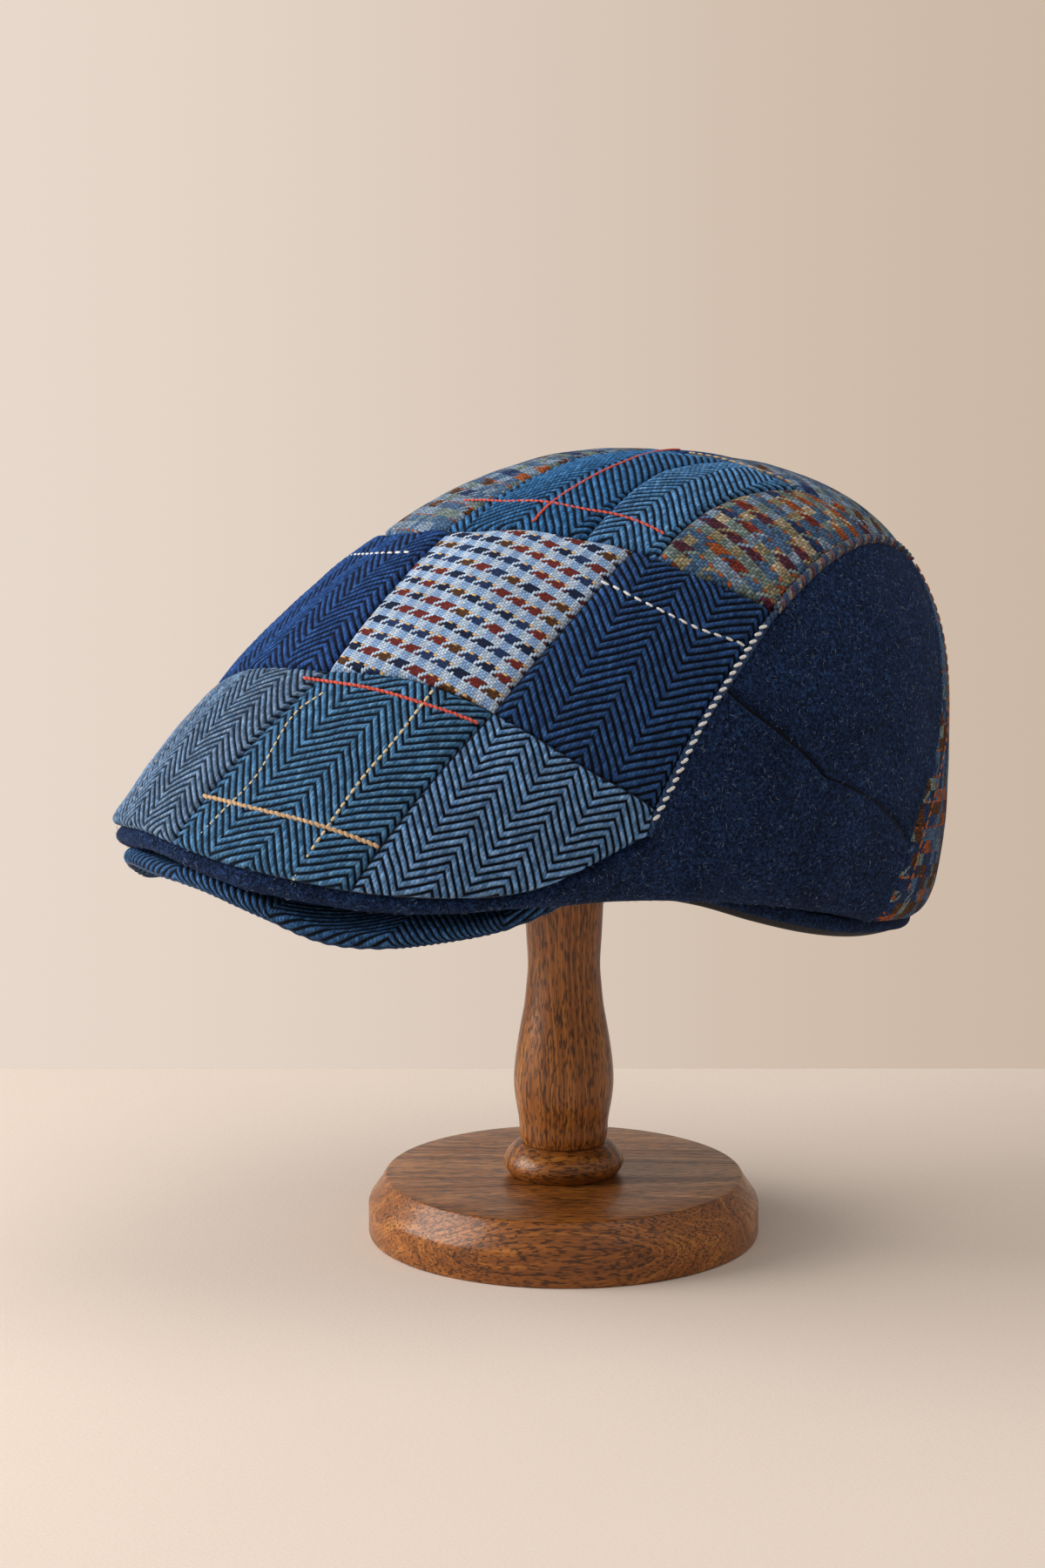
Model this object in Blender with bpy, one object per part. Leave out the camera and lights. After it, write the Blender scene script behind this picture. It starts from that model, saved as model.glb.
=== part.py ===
# Flat cap of pieced tweed and felt, resting on a turned wooden stand.
# Metres, +Z up. The origin is the centre of the stand's underside, and the peak points to -Y.
from collections import namedtuple
from functools import lru_cache
from math import atan2, cos, degrees, hypot, pi, radians, sin

import bmesh
import bpy
import numpy as np
from mathutils import Vector

MM = 0.001

# Cap, in plan: reaches are measured from a plan centre that lies behind the stand's axis.
PLAN_CENTRE_Y = 18 * MM
HALF_WIDTH = 96 * MM
FRONT_REACH = 166 * MM
BACK_REACH = 109 * MM
FRONT_FULLNESS = 2.2
BACK_FULLNESS = 2.06
FOLD_FULLNESS = 2.5

# Cap, in height: the hem's lowest point stands this far above the floor.
RIM_HEIGHT = 96.5 * MM
CAP_HEIGHT = 152 * MM

# Cloth and seams.
CLOTH_WALL = 2.2 * MM
SEAM_GAP = 0.4 * MM
CLEARANCE = 0.3 * MM
WELT_RADIUS = 1.1 * MM
WELT_RISE = 0.6 * MM

# Head opening.
HEAD_FRONT_REACH = 98 * MM
HEAD_FULLNESS = 2.1
SWEATBAND_WALL = 1.5 * MM
SWEATBAND_HEIGHT = 26 * MM
HEM_WALL = 4 * MM
HEM_ROLL_HEIGHT = 5.3 * MM
SWEATBAND_SHOWS = 2 * MM

# Peak and the felt roll above it.
PEAK_WALL = 4.5 * MM
PEAK_BEND = 1.3
PEAK_END_ANGLE = radians(60)
BAND_END_ANGLE = radians(50)

# Stand.
BASE_RADIUS = 62.4 * MM
BASE_HEIGHT = 19.6 * MM
BASE_SIDE_HEIGHT = 10.8 * MM
BASE_CHAMFER = 5.5 * MM
BASE_FOOT_EASE = 0.8 * MM
COLLAR_RADIUS = 19.1 * MM
COLLAR_HEIGHT = 10 * MM
STEM_RADIUS = 15.9 * MM
HEAD_DOME_RADIUS = 36 * MM
HEAD_DOME_HEIGHT = 22 * MM
TURNING_SIDES = 40

# Sections of the cap at angles in degrees from the peak, the same on both sides.
# Heights are shares of CAP_HEIGHT above the rim: the widest line, the fold under it and the hem.
# tuck is how far the fold lies inside the widest line, as a share of HALF_WIDTH.
# slope and flat shape the curve from the crown down to the widest line.
Section = namedtuple("Section", "angle widest fold hem tuck slope flat")
SECTIONS = (
    Section(0, 0.326, 0.280, 0.200, 0.083, 1.22, 1.60),
    Section(15, 0.289, 0.237, 0.200, 0.083, 1.18, 1.74),
    Section(30, 0.247, 0.204, 0.200, 0.094, 1.31, 1.98),
    Section(45, 0.247, 0.204, 0.200, 0.125, 1.51, 2.10),
    Section(60, 0.326, 0.197, 0.200, 0.146, 1.72, 2.17),
    Section(75, 0.385, 0.178, 0.174, 0.146, 1.92, 2.25),
    Section(90, 0.411, 0.155, 0.128, 0.140, 2.00, 2.40),
    Section(105, 0.418, 0.122, 0.086, 0.135, 2.10, 2.50),
    Section(120, 0.421, 0.082, 0.053, 0.128, 2.25, 2.60),
    Section(135, 0.424, 0.056, 0.030, 0.120, 2.45, 2.60),
    Section(150, 0.431, 0.043, 0.010, 0.110, 2.60, 2.60),
    Section(180, 0.460, 0.038, 0.000, 0.095, 2.45, 2.50),
)

# The peak's outer edge: inset from the cap's widest line as a share of HALF_WIDTH, and the
# height of its underside as a share of CAP_HEIGHT.
PeakEdge = namedtuple("PeakEdge", "angle inset under")
PEAK_EDGE = (
    PeakEdge(0, 0.026, 0.240),
    PeakEdge(8, 0.026, 0.233),
    PeakEdge(15, 0.026, 0.198),
    PeakEdge(22, 0.028, 0.151),
    PeakEdge(28, 0.031, 0.141),
    PeakEdge(35, 0.052, 0.150),
    PeakEdge(40, 0.105, 0.158),
    PeakEdge(44, 0.142, 0.173),
    PeakEdge(48, 0.160, 0.192),
    PeakEdge(53, 0.180, 0.205),
    PeakEdge(60, 0.225, 0.214),
)
PEAK_INNER_UNDER = 0.200

# The cap spread flat on a disc: across grows to the wearer's left and along to the back, the
# crown's top is the centre, the widest line is the circle of radius 1 and the fold radius 2.
Pin = namedtuple("Pin", "across along")
LIP_CORNER_ANGLE = radians(62.6)
LIP_CORNER = Pin(sin(LIP_CORNER_ANGLE), -cos(LIP_CORNER_ANGLE))

# Side seam on the wearer's left, one stretch beside each row of patches.
SEAM_FRONT = (LIP_CORNER, Pin(0.865, -0.42))
SEAM_MIDDLE = (Pin(0.865, -0.42), Pin(0.80, -0.26), Pin(0.73, -0.10), Pin(0.65, 0.03))
SEAM_CROWN = (Pin(0.65, 0.03), Pin(0.54, 0.19), Pin(0.42, 0.36), Pin(0.375, 0.44))
SEAM_REAR = (Pin(0.375, 0.44), Pin(0.35, 0.50), Pin(0.345, 0.55))
SEAM_BACK = (
    Pin(0.345, 0.55),
    Pin(0.42, 0.63),
    Pin(0.65, 0.71),
    Pin(0.99, 0.79),
    Pin(1.25, 0.84),
    Pin(1.50, 0.92),
    Pin(2 * sin(radians(121)), -2 * cos(radians(121))),
)
DART = (
    Pin(0.758, -0.165),
    Pin(0.84, -0.09),
    Pin(0.94, 0.06),
    Pin(1.10, 0.38),
    Pin(1.25, 0.84),
)
# The back seam's pin that the dart runs to.
DART_END_PIN = 4

# Seams between the rows of patches, from the wearer's right to the left.
ROW_MIDDLE = (
    Pin(-0.865, -0.42),
    Pin(-0.60, -0.60),
    Pin(-0.30, -0.70),
    Pin(0.00, -0.685),
    Pin(0.26, -0.595),
    Pin(0.50, -0.535),
    Pin(0.70, -0.49),
    Pin(0.865, -0.42),
)
ROW_CROWN = (
    Pin(-0.65, 0.03),
    Pin(-0.45, -0.22),
    Pin(-0.20, -0.35),
    Pin(0.03, -0.33),
    Pin(0.20, -0.265),
    Pin(0.40, -0.19),
    Pin(0.53, -0.11),
    Pin(0.65, 0.03),
)
ROW_REAR = (
    Pin(-0.375, 0.44),
    Pin(-0.20, 0.24),
    Pin(0.00, 0.155),
    Pin(0.12, 0.195),
    Pin(0.27, 0.27),
    Pin(0.375, 0.44),
)
ROW_BACK = (Pin(-0.345, 0.55), Pin(0.0, 0.61), Pin(0.345, 0.55))

# Each patch runs from one seam between columns to the next, given where that seam meets the
# row's front and back edges. None is the side seam.
Column = namedtuple("Column", "front back")
PATCH_ROWS = (
    (
        "front",
        ("far", "right", "centre", "left"),
        (None, Column(-0.42, -0.36), Column(0.10, 0.125), Column(0.435, 0.43), None),
    ),
    (
        "middle",
        ("far", "right", "centre", "left"),
        (None, Column(-0.36, -0.36), Column(0.125, 0.03), Column(0.43, 0.38), None),
    ),
    (
        "crown",
        ("far", "right", "centre", "left", "outer"),
        (
            None,
            Column(-0.36, -0.24),
            Column(0.02, -0.06),
            Column(0.27, 0.12),
            Column(0.43, 0.27),
            None,
        ),
    ),
    ("rear", ("right", "left"), (None, Column(0.0, 0.0), None)),
    ("back", ("right", "left"), (None, Column(0.0, 0.0), None)),
)

# Grid steps of the cloth, kept few because each patch is smooth.
PATCH_STEPS = 7
SIDE_HEIGHT_STEPS = 6
LIP_STEPS = 3
SEAM_FOOT_STEPS = 5
DART_STEPS = 12
# The step of the dart at which the upper side panel turns its lower front corner.
DART_CORNER = 4
BAND_STEPS = 20
BAND_HEIGHT_STEPS = 4
PEAK_STEPS = 24
PEAK_DEPTH_STEPS = 4
RIM_STEPS = 40
WELT_STEPS = 34
ROUND_STEPS = 8

# How finely curves are sampled before points are spaced along them.
MERIDIAN_SAMPLES = 48
PIN_SAMPLES = 12
ROW_SAMPLES = 96
HEAD_TURNS = 24
DISC_STEP = 0.01

# The turned stem, from the collar up to the head: shares of its length and of STEM_RADIUS.
Turning = namedtuple("Turning", "height radius")
STEM_TURNING = (
    Turning(0.000, 0.83),
    Turning(0.014, 0.88),
    Turning(0.040, 0.90),
    Turning(0.079, 0.975),
    Turning(0.107, 1.00),
    Turning(0.136, 0.98),
    Turning(0.165, 0.937),
    Turning(0.200, 0.87),
    Turning(0.236, 0.795),
    Turning(0.268, 0.755),
    Turning(0.308, 0.723),
    Turning(0.365, 0.758),
    Turning(0.450, 0.80),
    Turning(0.600, 0.86),
    Turning(1.000, 0.86),
)

# Surface of each material: base colour, roughness, metallic.
COLOURS = {
    "navy_felt": ((0.016, 0.036, 0.095), 0.95, 0.0),
    "light_blue_herringbone": ((0.10, 0.19, 0.33), 0.9, 0.0),
    "teal_windowpane": ((0.045, 0.13, 0.22), 0.9, 0.0),
    "fine_herringbone": ((0.09, 0.18, 0.33), 0.9, 0.0),
    "royal_herringbone": ((0.012, 0.040, 0.14), 0.9, 0.0),
    "houndstooth": ((0.20, 0.26, 0.38), 0.9, 0.0),
    "navy_herringbone": ((0.018, 0.055, 0.14), 0.9, 0.0),
    "grey_plaid": ((0.06, 0.08, 0.12), 0.9, 0.0),
    "teal_herringbone": ((0.030, 0.10, 0.16), 0.9, 0.0),
    "mid_blue_herringbone": ((0.05, 0.13, 0.25), 0.9, 0.0),
    "brown_houndstooth": ((0.13, 0.085, 0.065), 0.9, 0.0),
    "dark_ribbon": ((0.010, 0.010, 0.014), 0.8, 0.0),
    "stained_wood": ((0.20, 0.075, 0.028), 0.4, 0.0),
}
PATCH_CLOTHS = {
    "patch_front_far": "royal_herringbone",
    "patch_front_right": "light_blue_herringbone",
    "patch_front_centre": "teal_windowpane",
    "patch_front_left": "fine_herringbone",
    "patch_middle_far": "brown_houndstooth",
    "patch_middle_right": "royal_herringbone",
    "patch_middle_centre": "houndstooth",
    "patch_middle_left": "navy_herringbone",
    "patch_crown_far": "mid_blue_herringbone",
    "patch_crown_right": "grey_plaid",
    "patch_crown_centre": "teal_herringbone",
    "patch_crown_left": "mid_blue_herringbone",
    "patch_crown_outer": "brown_houndstooth",
    "patch_rear_right": "navy_herringbone",
    "patch_rear_left": "grey_plaid",
    "patch_back_right": "royal_herringbone",
    "patch_back_left": "teal_windowpane",
}


def clear_scene():
    for thing in list(bpy.data.objects):
        bpy.data.objects.remove(thing)


@lru_cache(maxsize=None)
def cloth_material(name):
    colour, roughness, metallic = COLOURS[name]
    material = bpy.data.materials.new(name)
    material.use_nodes = True
    surface = material.node_tree.nodes["Principled BSDF"]
    surface.inputs["Base Color"].default_value = (*colour, 1.0)
    surface.inputs["Roughness"].default_value = roughness
    surface.inputs["Metallic"].default_value = metallic
    return material


def hermite(x, knots, values):
    """A smooth curve through four neighbouring knots, read between the middle two."""
    start, end = knots[1], knots[2]
    width = end - start
    share = (x - start) / width
    slope_in = (values[2] - values[0]) / (knots[2] - knots[0]) * width
    slope_out = (values[3] - values[1]) / (knots[3] - knots[1]) * width
    return (
        (2 * share**3 - 3 * share**2 + 1) * values[1]
        + (share**3 - 2 * share**2 + share) * slope_in
        + (3 * share**2 - 2 * share**3) * values[2]
        + (share**3 - share**2) * slope_out
    )


def table_value(table, column, angle):
    """A column of a table of angles, smooth between its rows and mirrored past its ends."""
    sought = abs(degrees(angle))
    sought = min(360 - sought, sought) if sought > 180 else sought
    rows = sorted(table, key=lambda row: row.angle)
    first, last = rows[0].angle, rows[-1].angle
    sought = min(sought, last)
    k = max(i for i, row in enumerate(rows) if row.angle <= sought and row.angle < last)
    knots, values = [], []
    for i in range(k - 1, k + 3):
        if i < 0:
            knots.append(2 * first - rows[-i].angle)
            values.append(getattr(rows[-i], column))
        elif i >= len(rows):
            mirrored = rows[2 * len(rows) - 2 - i]
            knots.append(2 * last - mirrored.angle)
            values.append(getattr(mirrored, column))
        else:
            knots.append(rows[i].angle)
            values.append(getattr(rows[i], column))
    return hermite(sought, knots, values)


def oval_radius(angle, half_width, front, back, front_fullness, back_fullness):
    """Distance from the plan centre to a superellipse whose front and back differ."""
    backness = (1 - cos(angle)) / 2
    backness = backness**2 * (3 - 2 * backness)
    fullness = front_fullness + (back_fullness - front_fullness) * backness
    reach = front if cos(angle) > 0 else back
    spread = (abs(sin(angle)) / half_width) ** fullness + (abs(cos(angle)) / reach) ** fullness
    return spread ** (-1 / fullness)


def outline_radius(angle):
    return oval_radius(angle, HALF_WIDTH, FRONT_REACH, BACK_REACH, FRONT_FULLNESS, BACK_FULLNESS)


def fold_radius(angle):
    return outline_radius(angle) - HALF_WIDTH * table_value(SECTIONS, "tuck", angle)


def head_radius(angle):
    """The sweatband's outer face: inside the hem at the sides and back, a plain oval in front."""
    hem = HEM_WALL + 2 * CLEARANCE
    side = fold_radius(pi / 2) - hem
    back = fold_radius(pi) - hem
    return oval_radius(angle, side, HEAD_FRONT_REACH, back, HEAD_FULLNESS, HEAD_FULLNESS)


def cap_level(share):
    return RIM_HEIGHT + CAP_HEIGHT * share


def plan_point(angle, radius, height):
    return Vector((radius * sin(angle), PLAN_CENTRE_Y - radius * cos(angle), height))


@lru_cache(maxsize=None)
def meridian(angle):
    """Radii, heights and disc levels down the cap at one angle, from the crown to the fold."""
    radius = outline_radius(angle)
    tuck = radius - fold_radius(angle)
    top = cap_level(1.0)
    widest = cap_level(table_value(SECTIONS, "widest", angle))
    fold = cap_level(table_value(SECTIONS, "fold", angle))
    slope = table_value(SECTIONS, "slope", angle)
    flat = table_value(SECTIONS, "flat", angle)
    turn = np.linspace(0, pi / 2, MERIDIAN_SAMPLES + 1)
    share = np.sin(turn)
    upper = radius * share
    upper_height = widest + (top - widest) * np.clip(1 - share**flat, 0, 1) ** (1 / slope)
    inward = np.clip(np.cos(turn[1:]), 0, 1) ** (2 / FOLD_FULLNESS)
    lower = radius - tuck + tuck * inward
    lower_height = widest - (widest - fold) * np.sin(turn[1:]) ** (2 / FOLD_FULLNESS)
    radii = np.concatenate([upper, lower])
    heights = np.concatenate([upper_height, lower_height])
    run = np.concatenate([[0], np.cumsum(np.hypot(np.diff(radii), np.diff(heights)))])
    middle = run[MERIDIAN_SAMPLES]
    below = 1 + (run[MERIDIAN_SAMPLES + 1 :] - middle) / (run[-1] - middle)
    levels = np.concatenate([run[: MERIDIAN_SAMPLES + 1] / middle, below])
    return radii, heights, levels


def cap_point(pin):
    """The outer face of the cap at a point of the flat disc."""
    angle = atan2(pin[0], -pin[1])
    radii, heights, levels = meridian(angle)
    level = hypot(pin[0], pin[1])
    return plan_point(angle, np.interp(level, levels, radii), np.interp(level, levels, heights))


def cap_normal(pin):
    """Outward direction of the cap at a point of the disc, from two short steps round it."""
    level = min(hypot(pin[0], pin[1]), 2 - DISC_STEP)
    angle = atan2(pin[0], -pin[1])
    across, along = level * sin(angle), -level * cos(angle)
    sideways = cap_point((across + DISC_STEP, along)) - cap_point((across - DISC_STEP, along))
    backwards = cap_point((across, along + DISC_STEP)) - cap_point((across, along - DISC_STEP))
    return sideways.cross(backwards).normalized()


def smooth_line(pins, steps):
    """Evenly spaced points of the disc along a smooth curve through the pins."""
    pins = [np.array(pin, float) for pin in pins]
    ends = [2 * pins[0] - pins[1], *pins, 2 * pins[-1] - pins[-2]]
    dense = [pins[0]]
    for i in range(len(pins) - 1):
        four = ends[i : i + 4]
        for j in range(1, PIN_SAMPLES + 1):
            dense.append(hermite(1 + j / PIN_SAMPLES, (0, 1, 2, 3), four))
    dense = np.array(dense)
    run = np.concatenate([[0], np.cumsum(np.hypot(*np.diff(dense, axis=0).T))])
    sought = np.linspace(0, run[-1], steps + 1)
    return np.stack([np.interp(sought, run, dense[:, axis]) for axis in (0, 1)], axis=1)


def arc_line(level, start, end, steps):
    """Points of the disc on a circle round the crown, between two angles."""
    angles = np.linspace(start, end, steps + 1)
    return np.stack([level * np.sin(angles), -level * np.cos(angles)], axis=1)


def row_line(row, start, end, steps):
    """Points of a seam between rows, or of the lip, between two places across the cap."""
    across = np.linspace(start, end, steps + 1)
    if row == "lip":
        return np.stack([across, -np.sqrt(1 - across**2)], axis=1)
    if row == "fold":
        return np.stack([across, np.sqrt(4 - across**2)], axis=1)
    dense = smooth_line(row, ROW_SAMPLES)
    return np.stack([across, np.interp(across, dense[:, 0], dense[:, 1])], axis=1)


def straight_line(start, end, steps):
    share = np.linspace(0, 1, steps + 1)[:, None]
    return np.array(start) * (1 - share) + np.array(end) * share


def coons_grid(front, back, left, right):
    """A grid of disc points that fills four edges. front and back run to +across, left and
    right run to the back."""
    s = np.linspace(0, 1, len(front))[:, None, None]
    t = np.linspace(0, 1, len(left))[None, :, None]
    between_rows = (1 - t) * front[:, None] + t * back[:, None]
    between_sides = (1 - s) * left[None] + s * right[None]
    corners = (
        (1 - s) * (1 - t) * front[0]
        + s * (1 - t) * front[-1]
        + (1 - s) * t * back[0]
        + s * t * back[-1]
    )
    return between_rows + between_sides - corners


def trim_edges(points, trims):
    """Draws each edge of a grid of points in from its seam: low and high side across, then the
    first and the last row. A trim is one length, or one for each point."""
    edges = (
        (points[:, 0], points[:, 1]),
        (points[:, -1], points[:, -2]),
        (points[0, :], points[1, :]),
        (points[-1, :], points[-2, :]),
    )
    for (edge, inner), trim in zip(edges, trims):
        step = inner - edge
        length = np.linalg.norm(step, axis=1, keepdims=True)
        edge += step / length * np.reshape(trim, (-1, 1))
    return points


def add_object(name, mesh, material, centre, parent):
    piece = bpy.data.objects.new(name, mesh)
    piece.location = centre
    piece.parent = parent
    mesh.materials.append(cloth_material(material))
    bpy.context.scene.collection.objects.link(piece)
    mesh.shade_smooth()
    mesh.set_sharp_from_angle(angle=radians(40))
    return piece


def shell_object(name, outer, inner, material, parent, closed=False):
    """A closed solid between two grids of points. A closed one joins its last row to its first."""
    centre = Vector(outer.reshape(-1, 3).mean(axis=0))
    rows, columns = outer.shape[:2]
    shape = bmesh.new()
    skins = [
        [[shape.verts.new(Vector(point) - centre) for point in row] for row in skin]
        for skin in (outer, inner)
    ]
    strips = rows if closed else rows - 1
    for i in range(strips):
        after = (i + 1) % rows
        for j in range(columns - 1):
            for skin in skins:
                shape.faces.new((skin[i][j], skin[after][j], skin[after][j + 1], skin[i][j + 1]))
        for j in (0, columns - 1):
            first, second = skins
            shape.faces.new((first[i][j], first[after][j], second[after][j], second[i][j]))
    if not closed:
        for i in (0, rows - 1):
            for j in range(columns - 1):
                first, second = skins
                shape.faces.new((first[i][j], first[i][j + 1], second[i][j + 1], second[i][j]))
    bmesh.ops.recalc_face_normals(shape, faces=shape.faces)
    mesh = bpy.data.meshes.new(name)
    shape.to_mesh(mesh)
    shape.free()
    return add_object(name, mesh, material, centre, parent)


def cloth_panel(name, edges, trims, material, parent):
    """A cloth wall on the cap's surface, between four edges given on the flat disc."""
    grid = coons_grid(*edges)
    outer = np.array([[cap_point(pin) for pin in row] for row in grid])
    normals = np.array([[cap_normal(pin) for pin in row] for row in grid])
    outer = trim_edges(outer, trims)
    return shell_object(name, outer, outer - CLOTH_WALL * normals, material, parent)


def patch_objects(parent):
    """The top cloth: rows of patches from the lip to the hem at the back."""
    row_edges = ("lip", ROW_MIDDLE, ROW_CROWN, ROW_REAR, ROW_BACK, "fold")
    seam_stretches = (SEAM_FRONT, SEAM_MIDDLE, SEAM_CROWN, SEAM_REAR, SEAM_BACK)
    half_gap = SEAM_GAP / 2
    for (row, names, columns), front, back, seam in zip(
        PATCH_ROWS, row_edges, row_edges[1:], seam_stretches
    ):
        at_back = row == "back"
        side_trim = half_gap if at_back else WELT_RADIUS + CLEARANCE
        if at_back:
            above, below = back_seam_line()
            side_line = np.concatenate([above, below[1:]])
        else:
            side_line = smooth_line(seam, PATCH_STEPS)
        steps = len(side_line) - 1
        for k, name in enumerate(names):
            low, high = columns[k], columns[k + 1]
            starts = (-seam[0][0], -seam[-1][0]) if low is None else low
            ends = (seam[0][0], seam[-1][0]) if high is None else high
            front_line = row_line(front, starts[0], ends[0], PATCH_STEPS)
            back_line = row_line(back, starts[1], ends[1], PATCH_STEPS)
            left_line = (
                side_line * np.array([-1.0, 1.0])
                if low is None
                else straight_line(front_line[0], back_line[0], steps)
            )
            right_line = (
                side_line
                if high is None
                else straight_line(front_line[-1], back_line[-1], steps)
            )
            trims = (
                half_gap,
                half_gap,
                side_trim if low is None else half_gap,
                side_trim if high is None else half_gap,
            )
            node = f"patch_{row}_{name}"
            edges = (front_line, back_line, left_line, right_line)
            cloth_panel(node, edges, trims, PATCH_CLOTHS[node], parent)


def back_seam_line():
    """The back edge of a side panel, from the top of the rear down, with a point at the dart."""
    above = smooth_line(SEAM_BACK[: DART_END_PIN + 1], SIDE_HEIGHT_STEPS)
    below = smooth_line(SEAM_BACK[DART_END_PIN:], SIDE_HEIGHT_STEPS)
    return above, below


def side_objects(parent):
    """The felt of each side: one panel below the dart, from the band to the hem, and one above."""
    upper_seam = (DART[0], *SEAM_MIDDLE[2:], *SEAM_CROWN[1:], *SEAM_REAR[1:])
    back_above, back_below = back_seam_line()
    fold_end = atan2(SEAM_BACK[-1][0], -SEAM_BACK[-1][1])
    half_gap = SEAM_GAP / 2
    welt_trim = WELT_RADIUS + 3 * CLEARANCE

    lip = arc_line(1, BAND_END_ANGLE, LIP_CORNER_ANGLE, LIP_STEPS)
    seam_to_dart = smooth_line((*SEAM_FRONT, SEAM_MIDDLE[1], DART[0]), SEAM_FOOT_STEPS)
    dart = smooth_line(DART, DART_STEPS)
    lower_steps = LIP_STEPS + SEAM_FOOT_STEPS + DART_STEPS
    lower_top = np.concatenate([lip, seam_to_dart[1:], dart[1:]])
    lower_bottom = arc_line(2, BAND_END_ANGLE, fold_end, lower_steps)
    lower_front = straight_line(lower_bottom[0], lower_top[0], SIDE_HEIGHT_STEPS)
    lower = (lower_bottom, lower_top, lower_front, back_below[::-1])

    upper_bottom = dart[DART_CORNER:]
    upper_front = smooth_line(dart[: DART_CORNER + 1][::-1], SIDE_HEIGHT_STEPS)
    upper_top = smooth_line(upper_seam, DART_STEPS - DART_CORNER)
    upper = (upper_bottom, upper_top, upper_front, back_above[::-1])

    lower_top_trim = np.full(len(lower_top), half_gap)
    lower_top_trim[LIP_STEPS : LIP_STEPS + SEAM_FOOT_STEPS + 2] = welt_trim

    for side, name in ((1, "left"), (-1, "right")):
        turn = np.array([side, 1.0])
        edges = [line * turn for line in lower]
        trims = (0.0, lower_top_trim, half_gap, half_gap)
        cloth_panel(f"side_front_{name}", edges, trims, "navy_felt", parent)
        edges = [line * turn for line in upper]
        trims = (half_gap, welt_trim, half_gap, half_gap)
        cloth_panel(f"side_rear_{name}", edges, trims, "navy_felt", parent)


def band_object(parent):
    """The felt roll under the lip, between the two side panels."""
    lip = arc_line(1, -BAND_END_ANGLE, BAND_END_ANGLE, BAND_STEPS)
    fold = arc_line(2, -BAND_END_ANGLE, BAND_END_ANGLE, BAND_STEPS)
    low_side = straight_line(fold[0], lip[0], BAND_HEIGHT_STEPS)
    high_side = straight_line(fold[-1], lip[-1], BAND_HEIGHT_STEPS)
    half_gap = SEAM_GAP / 2
    trims = (0.0, half_gap, half_gap, half_gap)
    cloth_panel("front_band", (fold, lip, low_side, high_side), trims, "navy_felt", parent)


def peak_object(parent):
    """The stiff peak: from the sweatband's front out to an edge that droops to both sides."""
    outer, inner = [], []
    for angle in np.linspace(-PEAK_END_ANGLE, PEAK_END_ANGLE, PEAK_STEPS + 1):
        near = head_radius(angle) + CLEARANCE
        far = outline_radius(angle) - HALF_WIDTH * table_value(PEAK_EDGE, "inset", angle)
        near_height = cap_level(PEAK_INNER_UNDER)
        far_height = cap_level(table_value(PEAK_EDGE, "under", angle))
        top, under = [], []
        for share in np.linspace(0, 1, PEAK_DEPTH_STEPS + 1):
            radius = near + (far - near) * share
            height = near_height + (far_height - near_height) * share**PEAK_BEND
            top.append(plan_point(angle, radius, height + PEAK_WALL))
            under.append(plan_point(angle, radius, height))
        outer.append(top)
        inner.append(under)
    shell_object("peak", np.array(outer), np.array(inner), "fine_herringbone", parent)


def ring_section(angle, radius, wall, low, high):
    """The four corners of a ring's section, as its outer and its inner edge."""
    outer = (plan_point(angle, radius, high), plan_point(angle, radius, low))
    inner = (plan_point(angle, radius - wall, high), plan_point(angle, radius - wall, low))
    return outer, inner


def hem_low(angle):
    return cap_level(table_value(SECTIONS, "hem", angle))


def rim_objects(parent):
    """The sweatband all round the head opening, and the rolled hem outside it, open in front."""
    outer, inner = [], []
    for step in range(RIM_STEPS):
        angle = 2 * pi * step / RIM_STEPS
        low = hem_low(angle) - SWEATBAND_SHOWS * sin(angle) ** 2
        section = ring_section(
            angle, head_radius(angle), SWEATBAND_WALL, low, low + SWEATBAND_HEIGHT
        )
        outer.append(section[0])
        inner.append(section[1])
    shell_object(
        "sweatband", np.array(outer), np.array(inner), "dark_ribbon", parent, closed=True
    )
    outer, inner = [], []
    for angle in np.linspace(PEAK_END_ANGLE, 2 * pi - PEAK_END_ANGLE, RIM_STEPS):
        radius = head_radius(angle) + CLEARANCE + HEM_WALL
        low = hem_low(angle)
        section = ring_section(angle, radius, HEM_WALL, low, low + HEM_ROLL_HEIGHT)
        outer.append(section[0])
        inner.append(section[1])
    shell_object("hem_band", np.array(outer), np.array(inner), "navy_felt", parent)


def welt_object(name, side, parent):
    """The rolled edge that lies in the side seam, from the lip's corner to the top of the rear."""
    pins = (*SEAM_FRONT, *SEAM_MIDDLE[1:], *SEAM_CROWN[1:], *SEAM_REAR[1:])
    route = smooth_line(pins, WELT_STEPS)[1:-1]
    route[0] = (route[0] + route[1]) / 2
    curve = bpy.data.curves.new(name, "CURVE")
    curve.dimensions = "3D"
    curve.bevel_depth = WELT_RADIUS
    curve.bevel_resolution = 1
    curve.use_fill_caps = True
    spline = curve.splines.new("POLY")
    spline.points.add(len(route) - 1)
    for point, pin in zip(spline.points, route):
        pin = (pin[0] * side, pin[1])
        place = cap_point(pin) + WELT_RISE * cap_normal(pin)
        point.co = (*place, 1.0)
    curve.materials.append(cloth_material("teal_herringbone"))
    welt = bpy.data.objects.new(name, curve)
    welt.parent = parent
    bpy.context.scene.collection.objects.link(welt)


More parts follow.
